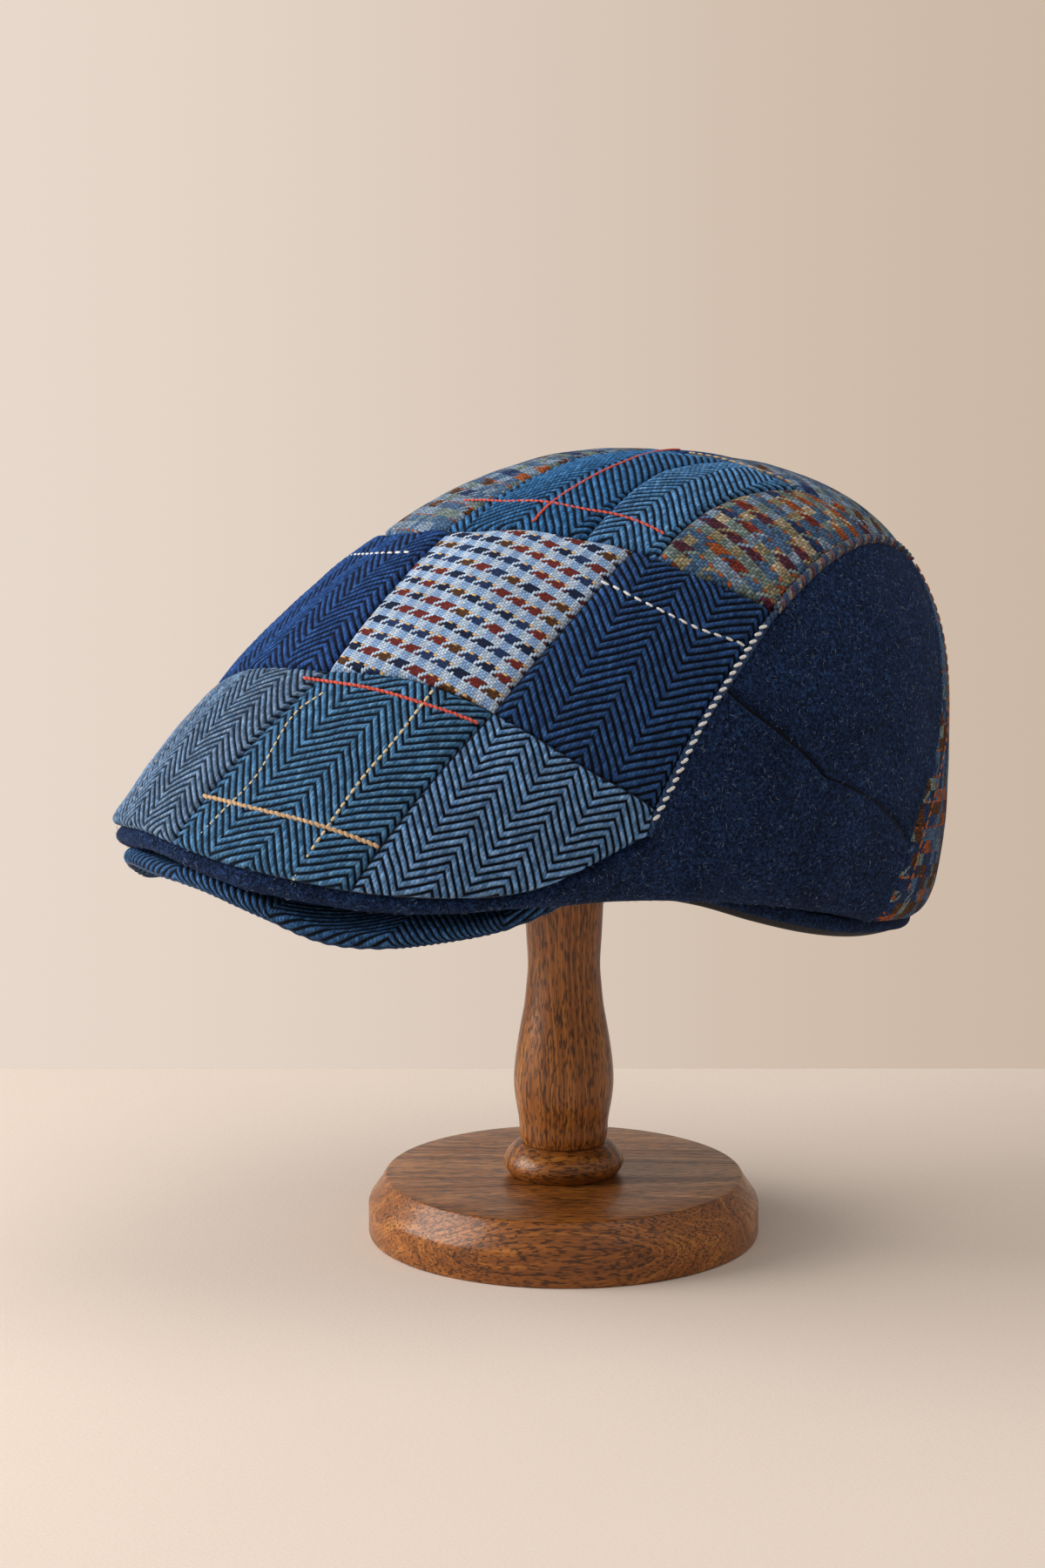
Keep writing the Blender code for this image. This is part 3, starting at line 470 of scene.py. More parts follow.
def ovalRadius(angle, halfWidth, front, back, frontFullness, backFullness):
    backness = (1 - np.cos(angle)) / 2
    backness = backness**2 * (3 - 2 * backness)
    fullness = frontFullness + (backFullness - frontFullness) * backness
    reach = np.where(np.cos(angle) > 0, front, back)
    spread = (np.abs(np.sin(angle)) / halfWidth) ** fullness + (np.abs(np.cos(angle)) / reach) ** fullness
    return spread ** (-1 / fullness)


def outlineRadius(angle):
    return ovalRadius(
        angle, cap["halfWidth"], cap["frontReach"], cap["backReach"], cap["frontFullness"], cap["backFullness"]
    )


def foldRadius(angle):
    return outlineRadius(angle) - cap["halfWidth"] * tableCurve(
        sectionAngles, sectionRows["tuck"], np.degrees(angle)
    )


def headRadius(angle):
    hem = cap["hemWall"] + 2 * cap["clearance"]
    side = foldRadius(math.pi / 2) - hem
    back = foldRadius(math.pi) - hem
    return ovalRadius(angle, side, cap["headFrontReach"], back, cap["headFullness"], cap["headFullness"])


def capLevel(share):
    return cap["rimHeight"] + cap["height"] * share


# One fine table of the cap: radius and height at every quarter degree and 1/400 of a level.
tableTurns = 1440
tableLevels = 800


def surfaceTable():
    angle = np.linspace(0, 2 * math.pi, tableTurns + 1)
    byAngle = np.degrees(angle)
    radius = outlineRadius(angle)[:, None]
    tuck = radius - foldRadius(angle)[:, None]
    column = {key: tableCurve(sectionAngles, row, byAngle)[:, None] for key, row in sectionRows.items()}
    top = capLevel(1.0)
    widest = capLevel(column["widest"])
    fold = capLevel(column["fold"])
    turn = np.linspace(0, math.pi / 2, 97)[None]
    share = np.sin(turn)
    upper = radius * share
    upperHeight = widest + (top - widest) * np.clip(1 - share ** column["flat"], 0, 1) ** (1 / column["slope"])
    power = 2 / cap["foldFullness"]
    lower = radius - tuck + tuck * np.clip(np.cos(turn[:, 1:]), 0, 1) ** power
    lowerHeight = widest - (widest - fold) * np.sin(turn[:, 1:]) ** power
    radii = np.concatenate([upper, lower], axis=1)
    heights = np.concatenate([upperHeight, lowerHeight], axis=1)
    run = np.zeros_like(radii)
    run[:, 1:] = np.cumsum(np.hypot(np.diff(radii, axis=1), np.diff(heights, axis=1)), axis=1)
    middle = run[:, 96:97]
    level = np.where(run <= middle, run / middle, 1 + (run - middle) / (run[:, -1:] - middle))
    wanted = np.linspace(0, 2, tableLevels + 1)
    tableRadius = np.array([np.interp(wanted, row, value) for row, value in zip(level, radii)])
    tableHeight = np.array([np.interp(wanted, row, value) for row, value in zip(level, heights)])
    return tableRadius, tableHeight


surfaceRadius, surfaceHeight = surfaceTable()


def capPlace(pins):
    # outer face of the cap at points of the flat disc
    pins = np.asarray(pins, float)
    angle = np.arctan2(pins[..., 0], -pins[..., 1]) % (2 * math.pi)
    level = np.clip(np.hypot(pins[..., 0], pins[..., 1]), 0, 2)
    a = angle / (2 * math.pi) * tableTurns
    b = level / 2 * tableLevels
    i = np.minimum(a.astype(int), tableTurns - 1)
    j = np.minimum(b.astype(int), tableLevels - 1)
    fa, fb = a - i, b - j

    def blend(table):
        return (
            table[i, j] * (1 - fa) * (1 - fb)
            + table[i + 1, j] * fa * (1 - fb)
            + table[i, j + 1] * (1 - fa) * fb
            + table[i + 1, j + 1] * fa * fb
        )

    radius, height = blend(surfaceRadius), blend(surfaceHeight)
    return np.stack([radius * np.sin(angle), cap["planCentreY"] - radius * np.cos(angle), height], axis=-1)


def capNormal(pins, step=0.01):
    pins = np.asarray(pins, float)
    level = np.hypot(pins[..., 0], pins[..., 1])
    keep = np.minimum(level, 2 - step) / np.maximum(level, 1e-9)
    pins = pins * keep[..., None]
    right = capPlace(pins + [step, 0]) - capPlace(pins - [step, 0])
    rear = capPlace(pins + [0, step]) - capPlace(pins - [0, step])
    normal = np.cross(right, rear)
    return normal / np.linalg.norm(normal, axis=-1, keepdims=True)


# Lines on the flat disc. Pins are (across, along): the crown's top is (0, 0), the widest line of the
# cap is the circle of radius 1, the fold under it the circle of radius 2, and -along is the peak.
seam = {
    "lipCornerAngle": math.radians(62.6),
    "bandEndAngle": math.radians(50),
    "hemEndAngle": math.radians(121),
    "gap": 0.4 * mm,
    "weltRadius": 1.1 * mm,
}
lipCorner = (math.sin(seam["lipCornerAngle"]), -math.cos(seam["lipCornerAngle"]))
seamFront = (lipCorner, (0.865, -0.42))
seamMiddle = ((0.865, -0.42), (0.80, -0.26), (0.73, -0.10), (0.65, 0.03))
seamCrown = ((0.65, 0.03), (0.54, 0.19), (0.42, 0.36), (0.375, 0.44))
seamRear = ((0.375, 0.44), (0.35, 0.50), (0.345, 0.55))
seamBack = (
    (0.345, 0.55), (0.42, 0.63), (0.65, 0.71), (0.99, 0.79), (1.25, 0.84), (1.50, 0.92),
    (2 * math.sin(seam["hemEndAngle"]), -2 * math.cos(seam["hemEndAngle"])),
)
dart = ((0.758, -0.165), (0.84, -0.09), (0.94, 0.06), (1.10, 0.38), (1.25, 0.84))
dartEndPin = 4
dartCorner = 4 / 12  # share of the dart at which the upper side panel turns its corner
rowMiddle = (
    (-0.865, -0.42), (-0.60, -0.60), (-0.30, -0.70), (0.00, -0.685),
    (0.26, -0.595), (0.50, -0.535), (0.70, -0.49), (0.865, -0.42),
)
rowCrown = (
    (-0.65, 0.03), (-0.45, -0.22), (-0.20, -0.35), (0.03, -0.33),
    (0.20, -0.265), (0.40, -0.19), (0.53, -0.11), (0.65, 0.03),
)
rowRear = ((-0.375, 0.44), (-0.20, 0.24), (0.00, 0.155), (0.12, 0.195), (0.27, 0.27), (0.375, 0.44))
rowBack = ((-0.345, 0.55), (0.0, 0.61), (0.345, 0.55))


def smoothLine(pins, steps, samples=24):
    # evenly spaced points along a smooth curve through the pins
    pins = np.array(pins, float)
    ends = np.concatenate([[2 * pins[0] - pins[1]], pins, [2 * pins[-1] - pins[-2]]])
    share = (np.arange(samples) / samples)[:, None]
    dense = [
        hermite(share, 1, ends[i + 1], ends[i + 2], (ends[i + 2] - ends[i]) / 2, (ends[i + 3] - ends[i + 1]) / 2)
        for i in range(len(pins) - 1)
    ]
    dense = np.concatenate([*dense, pins[-1:]])
    run = np.concatenate([[0], np.cumsum(np.hypot(*np.diff(dense, axis=0).T))])
    wanted = np.linspace(0, run[-1], steps + 1)
    return np.stack([np.interp(wanted, run, dense[:, axis]) for axis in (0, 1)], axis=1)


def arcLine(level, start, end, steps):
    angles = np.linspace(start, end, steps + 1)
    return np.stack([level * np.sin(angles), -level * np.cos(angles)], axis=1)


def rowLine(row, start, end, steps):
    across = np.linspace(start, end, steps + 1)
    if isinstance(row, str):  # the lip in front, or the fold at the back
        along = -np.sqrt(1 - across**2) if row == "lip" else np.sqrt(4 - across**2)
    else:
        curve = smoothLine(row, 200)
        along = np.interp(across, curve[:, 0], curve[:, 1])
    return np.stack([across, along], axis=1)


def straightLine(start, end, steps):
    share = np.linspace(0, 1, steps + 1)[:, None]
    return np.array(start) * (1 - share) + np.array(end) * share


edgeSteps = 240
mirrored = np.array([-1.0, 1.0])


def alongEdge(edge, share):
    places = np.linspace(0, 1, len(edge))
    return np.stack([np.interp(share, places, edge[:, axis]) for axis in (0, 1)], axis=-1)


def coonsPins(edges, s, t):
    # pins inside four edges. Front and back run to +across, left and right run to the back
    front, back, left, right = edges
    fs, bs = alongEdge(front, s), alongEdge(back, s)
    lt, rt = alongEdge(left, t), alongEdge(right, t)
    s, t = s[..., None], t[..., None]
    corners = (1 - s) * (1 - t) * front[0] + s * (1 - t) * front[-1] + (1 - s) * t * back[0] + s * t * back[-1]
    return (1 - t) * fs + t * bs + (1 - s) * lt + s * rt - corners


def runLengths(points, axis):
    step = np.linalg.norm(np.diff(points, axis=axis), axis=-1)
    run = np.cumsum(step, axis=axis)
    pad = [(0, 0), (0, 0)]
    pad[axis] = (1, 0)
    return np.pad(run, pad)


def clothPins(edges, trims, cell):
    # a fine grid of pins that stops short of each edge by its trim, and each pin's way to the edges
    s, t = np.meshgrid(np.linspace(0, 1, 41), np.linspace(0, 1, 41), indexing="ij")
    rough = capPlace(coonsPins(edges, s, t))
    across, along = runLengths(rough, 0)[-1], runLengths(rough, 1)[:, -1]
    columns = max(8, int(across.max() / cell))
    rows = max(8, int(along.max() / cell))
    s, t = np.meshgrid(np.linspace(0, 1, columns + 1), np.linspace(0, 1, rows + 1), indexing="ij")
    width = np.interp(t, np.linspace(0, 1, 41), across)
    depth = np.interp(s, np.linspace(0, 1, 41), along)
    frontTrim, backTrim, leftTrim, rightTrim = trims
    s = leftTrim / width + s * (1 - (leftTrim + rightTrim) / width)
    t = frontTrim / depth + t * (1 - (frontTrim + backTrim) / depth)
    pins = coonsPins(edges, s, t)
    places = capPlace(pins)
    fromLeft, fromFront = runLengths(places, 0), runLengths(places, 1)
    toRight, toBack = fromLeft[-1:] - fromLeft, fromFront[:, -1:] - fromFront
    return pins, places, (fromFront, toBack, fromLeft, toRight)


def roundedEdge(way, radius, depth):
    # how far a turned edge drops below the cloth, at a distance from the edge
    near = np.clip(1 - way / radius, 0, 1)
    return depth * (1 - np.sqrt(1 - near**2))


def ripple(points, length, seed):
    # a slow, even unevenness of hand-made cloth, between -1 and 1
    total = np.zeros(points.shape[:-1])
    for k in range(6):
        turn = seed * 1.7 + k * 2.4
        direction = np.array([math.sin(turn), math.cos(turn * 1.3), math.sin(turn * 0.7 + 1)])
        total += np.sin((points @ direction) / length * 2 * math.pi * (1 + 0.23 * k) + turn * 5)
    return total / 6


def pingPong(x, length):
    return length - np.abs((x % (2 * length)) - length)


def ribHeight(cloth, clothName):
    # a herringbone's ropes, 1 along their middles and -1 between them, in step with its material
    thread, column = weaves[clothName][:2]
    wave = (cloth[..., 1] / thread + pingPong(cloth[..., 0] / thread, column) - 1.5) / herringboneRepeat
    return np.cos(2 * math.pi * wave)


def weavePlane(places, normalAt, alongHint, turn):
    # cloth coordinates in metres, as if the patch were cut from flat cloth round its middle
    middle = places[places.shape[0] // 2, places.shape[1] // 2]
    along = alongHint - normalAt * (alongHint @ normalAt)
    along /= np.linalg.norm(along)
    across = np.cross(along, normalAt)
    turn = math.radians(turn)
    axisU = across * math.cos(turn) + along * math.sin(turn)
    axisV = along * math.cos(turn) - across * math.sin(turn)
    away = places - middle
    u, v = away @ axisU, away @ axisV
    stretch = np.linalg.norm(away, axis=-1) / np.maximum(np.hypot(u, v), 1e-9)
    return np.stack([u * stretch, v * stretch], axis=-1)


def pickOnly(piece):
    bpy.ops.object.select_all(action="DESELECT")
    piece.select_set(True)
    bpy.context.view_layer.objects.active = piece


def selectRims():
    bpy.ops.mesh.select_all(action="DESELECT")
    bpy.ops.mesh.select_non_manifold(
        extend=False, use_wire=False, use_multi_face=False, use_non_contiguous=False, use_verts=False
    )


def faceOutwards():
    bpy.ops.mesh.select_all(action="SELECT")
    bpy.ops.mesh.normals_make_consistent(inside=False)
    bpy.ops.object.mode_set(mode="OBJECT")


def weldGrid(openEnds):
    # merges the doubled edges of a grid that closes on itself, and caps its ends
    bpy.ops.object.mode_set(mode="EDIT")
    bpy.ops.mesh.select_all(action="SELECT")
    bpy.ops.mesh.remove_doubles(threshold=1e-6)
    if openEnds:
        selectRims()
        bpy.ops.mesh.edge_face_add()
    faceOutwards()


def shapeGrid(name, points):
    # a grid primitive, its vertices moved to a table of points [s][t]
    bpy.ops.object.select_all(action="DESELECT")
    rows, columns = points.shape[:2]
    bpy.ops.mesh.primitive_grid_add(x_subdivisions=rows - 1, y_subdivisions=columns - 1, size=1)
    grid = bpy.context.active_object
    grid.name = name
    grid.data.name = name
    grid.data.vertices.foreach_set("co", points.transpose(1, 0, 2).reshape(-1))
    grid.data.update()
    return grid


def setWeaveMap(piece, vertexCloth):
    while piece.data.uv_layers:
        piece.data.uv_layers.remove(piece.data.uv_layers[0])
    layer = piece.data.uv_layers.new(name="weave")
    corners = np.empty(len(piece.data.loops), int)
    piece.data.loops.foreach_get("vertex_index", corners)
    layer.data.foreach_set("uv", vertexCloth[corners].reshape(-1))


def closeWall(piece, inner, outerCloth, innerCloth):
    # joins a coarse inner face to the fine outer one and bridges the rim between them
    lining = shapeGrid(piece.name + "_inside", inner)
    bpy.ops.object.mode_set(mode="EDIT")
    bpy.ops.mesh.select_all(action="SELECT")
    bpy.ops.mesh.flip_normals()
    bpy.ops.object.mode_set(mode="OBJECT")
    bpy.ops.object.select_all(action="DESELECT")
    lining.select_set(True)
    piece.select_set(True)
    bpy.context.view_layer.objects.active = piece
    bpy.ops.object.join()
    bpy.ops.object.mode_set(mode="EDIT")
    bpy.ops.mesh.select_mode(type="EDGE")
    selectRims()
    bpy.ops.mesh.bridge_edge_loops()
    faceOutwards()
    setWeaveMap(piece, np.concatenate([cloth.transpose(1, 0, 2).reshape(-1, 2) for cloth in (outerCloth, innerCloth)]))


def finishPiece(piece, material, slotName, *nodes, smooth=40):
    piece.data.materials.clear()
    piece.data.materials.append(material)
    pickOnly(piece)
    bpy.ops.object.shade_smooth_by_angle(angle=math.radians(smooth))
    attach(piece, "root")
    if nodes:
        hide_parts(*nodes)


# Patches of the top cloth, row by row from the lip to the hem at the back. A column seam is given
# where it meets the row's front and back edges; None is the side seam.
patchRows = (
    ("front", "lip", rowMiddle, seamFront, ("far", "right", "centre", "left"),
     (None, (-0.42, -0.36), (0.10, 0.125), (0.435, 0.43), None)),
    ("middle", rowMiddle, rowCrown, seamMiddle, ("far", "right", "centre", "left"),
     (None, (-0.36, -0.36), (0.125, 0.03), (0.43, 0.38), None)),
    ("crown", rowCrown, rowRear, seamCrown, ("far", "right", "centre", "left", "outer"),
     (None, (-0.36, -0.24), (0.02, -0.06), (0.27, 0.12), (0.43, 0.27), None)),
    ("rear", rowRear, rowBack, seamRear, ("right", "left"), (None, (0.0, 0.0), None)),
    ("back", rowBack, "fold", seamBack, ("right", "left"), (None, (0.0, 0.0), None)),
)
patches = {
    # cloth, and the turn of its threads in degrees
    "patch_front_far": ("royal_herringbone", 10),
    "patch_front_right": ("light_blue_herringbone", 6),
    "patch_front_centre": ("teal_windowpane", 0),
    "patch_front_left": ("fine_herringbone", 0),
    "patch_middle_far": ("brown_houndstooth", 0),
    "patch_middle_right": ("royal_herringbone", 0),
    "patch_middle_centre": ("houndstooth", 0),
    "patch_middle_left": ("navy_herringbone", 0),
    "patch_crown_far": ("mid_blue_herringbone", 0),
    "patch_crown_right": ("grey_plaid", 0),
    "patch_crown_centre": ("teal_herringbone", 0),
    "patch_crown_left": ("mid_blue_herringbone", 0),
    "patch_crown_outer": ("brown_houndstooth", 0),
    "patch_rear_right": ("navy_herringbone", 0),
    "patch_rear_left": ("grey_plaid", 0),
    "patch_back_right": ("back_plaid", 0),
    "patch_back_left": ("back_plaid", 0),
}
slotOf = {"back_plaid": "brown_houndstooth", "shaded_peak_herringbone": "fine_herringbone"}
patchForm = {
    "ribbedCell": 0.64 * mm,
    "plainCell": 0.90 * mm,
    "wall": 1.5 * mm,
    "innerSteps": 8,
    "seamRound": 2.3 * mm,
    "lipRound": 2.6 * mm,
    "edgeDepth": 1.35 * mm,
    "lipSwell": 1.3 * mm,
    "lipReach": 7 * mm,
    "pillow": 0.8 * mm,
    "pillowReach": 7 * mm,
    "ribRise": 0.30 * mm,
    "waver": 0.35 * mm,
    "uneven": 0.25 * mm,
    "unevenLength": 34 * mm,
}


def patchWall(name, edges, trims, lipInFront):
    form = patchForm
    clothName, turn = patches[name]
    pins, places, ways = clothPins(edges, trims, form["ribbedCell" if clothName in weaves else "plainCell"])
    normals = capNormal(pins)
    hint = places[places.shape[0] // 2, -1] - places[places.shape[0] // 2, 0]
    middle = normals[normals.shape[0] // 2, normals.shape[1] // 2]
    cloth = weavePlane(places, middle, hint, turn)
    cloth = cloth + form["waver"] * np.stack([ripple(places, 23 * mm, 1), ripple(places, 27 * mm, 4)], axis=-1)
    radii = [form["seamRound"]] * 4
    lift = form["pillow"] * (1 - np.exp(-np.minimum.reduce(ways) / form["pillowReach"]))
    if lipInFront:
        radii[0] = form["lipRound"]
        lift = lift + form["lipSwell"] * np.exp(-((ways[0] / form["lipReach"]) ** 2))
    drops = [roundedEdge(way, radius, form["edgeDepth"]) for way, radius in zip(ways, radii)]
    lift = lift - np.maximum.reduce(drops)
    lift = lift + form["uneven"] * ripple(places, form["unevenLength"], 7)
    if clothName in weaves:
        lift = lift + form["ribRise"] * ribHeight(cloth, clothName)
    outer = places + normals * lift[..., None]
    piece = shapeGrid(name.replace("patch_", "tweed_"), outer)
    pick = [np.linspace(0, size - 1, form["innerSteps"] + 1).round().astype(int) for size in pins.shape[:2]]
    few = np.ix_(*pick)
    inner = places[few] - normals[few] * form["wall"]
    closeWall(piece, inner, cloth, cloth[few])
    finishPiece(piece, cloths[clothName], slotOf.get(clothName, clothName), name)


def backSeamLine():
    above = smoothLine(seamBack[: dartEndPin + 1], edgeSteps // 2)
    below = smoothLine(seamBack[dartEndPin:], edgeSteps // 2)
    return above, below


def makePatches():
    half = seam["gap"] / 2
    for row, front, back, side, names, columns in patchRows:
        atBack = row == "back"
        sideTrim = half if atBack else seam["weltRadius"] * 0.8
        sideLine = smoothLine(side, edgeSteps)
        if atBack:
            above, below = backSeamLine()
            sideLine = np.concatenate([above, below[1:]])
        for k, name in enumerate(names):
            low, high = columns[k], columns[k + 1]
            starts = low or (-side[0][0], -side[-1][0])
            ends = high or (side[0][0], side[-1][0])
            frontLine = rowLine(front, starts[0], ends[0], edgeSteps)
            backLine = rowLine(back, starts[1], ends[1], edgeSteps)
            leftLine = straightLine(frontLine[0], backLine[0], edgeSteps) if low else sideLine * mirrored
            rightLine = straightLine(frontLine[-1], backLine[-1], edgeSteps) if high else sideLine
            trims = (half, half, half if low else sideTrim, half if high else sideTrim)
            patchWall("patch_" + row + "_" + name, (frontLine, backLine, leftLine, rightLine), trims, row == "front")
        print("row of patches made:", row)


makePatches()

# Navy felt: one long panel runs from the back seam under the dart, along the lip and round the
# front to the other side; one more panel lies above the dart on each side.
felt = {
    "sideColumns": 230,
    "bandColumns": 180,
    "rows": 70,
    "upperColumns": 150,
    "upperRows": 110,
    "wall": 1.6 * mm,
    "seamRound": 2.4 * mm,
    "edgeDepth": 1.45 * mm,
    "lipGroove": 1.5 * mm,
    "lipGrooveReach": 2.6 * mm,
    "grooveShare": 3 / 20,
    "grooveFade": 15,
    "foldRound": 1.2 * mm,
    "swell": 0.55 * mm,
    "swellAt": 3.4 * mm,
    "swellReach": 2.8 * mm,
    "dent": 0.9 * mm,
    "dentLength": 46 * mm,
    "dentFade": 14 * mm,
    "innerSteps": 24,
}


feltFaces = []  # outer faces of the felt, where its loose fibres lie


def feltPanel(name, grids, roundings, nodes, grooveSpan=None):
    # grids are tables of pins side by side, which share their joining edge
    pins = np.concatenate([grids[0], *[grid[1:] for grid in grids[1:]]])
    places, normals = capPlace(pins), capNormal(pins)
    fromLeft, fromFront = runLengths(places, 0), runLengths(places, 1)
    ways = (fromFront, fromFront[:, -1:] - fromFront, fromLeft, fromLeft[-1:] - fromLeft)
    drops = [roundedEdge(way, radius, felt["edgeDepth"]) for way, radius in zip(ways, roundings)]
    lift = -np.maximum.reduce(drops)
    if grooveSpan is not None:
        lift = lift - felt["lipGroove"] * np.exp(-((ways[1] / felt["lipGrooveReach"]) ** 2)) * grooveSpan[:, None]
    edgeWay = np.minimum.reduce([way for way, radius in zip(ways, roundings) if radius == felt["seamRound"]])
    lift = lift + felt["swell"] * np.exp(-(((edgeWay - felt["swellAt"]) / felt["swellReach"]) ** 2))
    away = np.clip(np.minimum.reduce(ways) / felt["dentFade"], 0, 1)
    lift = lift + felt["dent"] * ripple(places, felt["dentLength"], 3) * away
    face = places + normals * lift[..., None]
    feltFaces.append((face, normals))
    piece = shapeGrid(name, face)
    pick = [
        np.linspace(0, size - 1, count + 1).round().astype(int)
        for size, count in zip(pins.shape[:2], (min(felt["innerSteps"] * 2, pins.shape[0] - 1), 6))
    ]
    few = np.ix_(*pick)
    inner = places[few] - normals[few] * felt["wall"]
    cloth = np.stack([fromLeft, fromFront], axis=-1)
    closeWall(piece, inner, cloth, cloth[few])
    finishPiece(piece, cloths["navy_felt"], "navy_felt", *nodes)


def gridOf(edges, columns, rows):
    s, t = np.meshgrid(np.linspace(0, 1, columns + 1), np.linspace(0, 1, rows + 1), indexing="ij")
    return coonsPins(edges, s, t)


def makeFelt():
    backAbove, backBelow = backSeamLine()
    endAngle, cornerAngle = seam["bandEndAngle"], seam["lipCornerAngle"]
    lip = arcLine(1, endAngle, cornerAngle, 3 * 24)
    toDart = smoothLine((*seamFront, seamMiddle[1], dart[0]), 5 * 24)
    dartLine = smoothLine(dart, 12 * 24)
    lowerTop = np.concatenate([lip, toDart[1:], dartLine[1:]])
    lowerBottom = arcLine(2, endAngle, seam["hemEndAngle"], len(lowerTop) - 1)
    lowerFront = straightLine(lowerBottom[0], lowerTop[0], edgeSteps)
    lower = (lowerBottom, lowerTop, lowerFront, backBelow[::-1])
    sideColumns, bandColumns = felt["sideColumns"], felt["bandColumns"]
    leftGrid = gridOf(lower, sideColumns, felt["rows"])
    rightGrid = (leftGrid * mirrored)[::-1]
    bandFold, bandLip = (arcLine(level, -endAngle, endAngle, edgeSteps) for level in (2, 1))
    bandEnds = [straightLine(bandFold[end], bandLip[end], edgeSteps) for end in (0, -1)]
    bandGrid = gridOf((bandFold, bandLip, *bandEnds), bandColumns, felt["rows"])
    columns = 2 * sideColumns + bandColumns + 1
    # the groove under the lip fades where the side seam begins
    place = np.abs(np.arange(columns) - (columns - 1) / 2) - bandColumns / 2
    grooveSpan = np.clip(1 - (place - sideColumns * felt["grooveShare"]) / felt["grooveFade"], 0, 1)
    seamRounds = (felt["seamRound"],) * 4
    feltPanel(
        "felt_lower", (rightGrid, bandGrid, leftGrid), (felt["foldRound"], *seamRounds[1:]),
        ("front_band", "side_front_left", "side_front_right"), grooveSpan,
    )
    corner = round(dartCorner * (len(dartLine) - 1))
    upperBottom = dartLine[corner:]
    upperFront = smoothLine(dartLine[: corner + 1 : 8][::-1], edgeSteps)
    upperTop = smoothLine((dart[0], *seamMiddle[2:], *seamCrown[1:], *seamRear[1:]), edgeSteps)
    upper = (upperBottom, upperTop, upperFront, backAbove[::-1])
    upperGrid = gridOf(upper, felt["upperColumns"], felt["upperRows"])
    feltPanel("felt_upper_left", (upperGrid,), seamRounds, ("side_rear_left",))
    feltPanel("felt_upper_right", ((upperGrid * mirrored)[::-1],), seamRounds, ("side_rear_right",))
    print("felt panels made")


makeFelt()


# Closed rings, strips and tubes: a section carried along a path
def frameAlong(points, normals):
    tangent = np.gradient(points, axis=0)
    tangent /= np.linalg.norm(tangent, axis=1, keepdims=True)
    side = np.cross(tangent, normals)
    side /= np.linalg.norm(side, axis=1, keepdims=True)
    return tangent, side, np.cross(side, tangent)


def tubeOf(name, points, normals, radius, sides=8, smoothEnds=True):
    _, side, up = frameAlong(points, normals)
    turn = np.linspace(0, 2 * math.pi, sides, endpoint=False)
    ends = np.sin(np.linspace(0, math.pi, len(points))) ** 0.12 if smoothEnds else np.ones(len(points))
    swell = (radius * np.maximum(ends, 0.25))[:, None, None]
    ring = side[:, None] * np.cos(turn)[None, :, None] + up[:, None] * np.sin(turn)[None, :, None]
    sections = points[:, None] + swell * ring
    run = np.linspace(0, 1, len(points))
    cloth = np.stack(np.meshgrid(run, np.linspace(0, 1, sides + 1), indexing="ij"), axis=-1)
    return sectionStrip(name, sections, False, cloth)


def sectionStrip(name, sections, closedRound, cloth):
    # sections [along][round the section], each a closed loop; open strips get capped ends
    loop = np.concatenate([sections, sections[:, :1]], axis=1)
    if closedRound:
        loop = np.concatenate([loop, loop[:1]], axis=0)
    piece = shapeGrid(name, loop)
    setWeaveMap(piece, cloth.transpose(1, 0, 2).reshape(-1, 2))
    weldGrid(openEnds=not closedRound)
    return piece


def ringPoint(angle, radius, height):
    return np.stack([radius * np.sin(angle), cap["planCentreY"] - radius * np.cos(angle), height], axis=-1)


peakForm = {
    "endAngle": math.radians(60),
    "wall": 4.5 * mm,
    "bend": 1.3,
    "innerUnder": 0.200,
    "ribRise": 0.16 * mm,
    "piping": 0.55 * mm,
    "steps": 330,
    "acrossSteps": 60,
    "noseSteps": 16,
}
peakAngles = [0, 8, 15, 22, 28, 35, 40, 44, 48, 53, 60]
peakInset = [0.026, 0.026, 0.026, 0.028, 0.031, 0.052, 0.105, 0.142, 0.160, 0.180, 0.225]
peakUnder = [0.240, 0.233, 0.198, 0.151, 0.141, 0.150, 0.158, 0.173, 0.192, 0.205, 0.214]


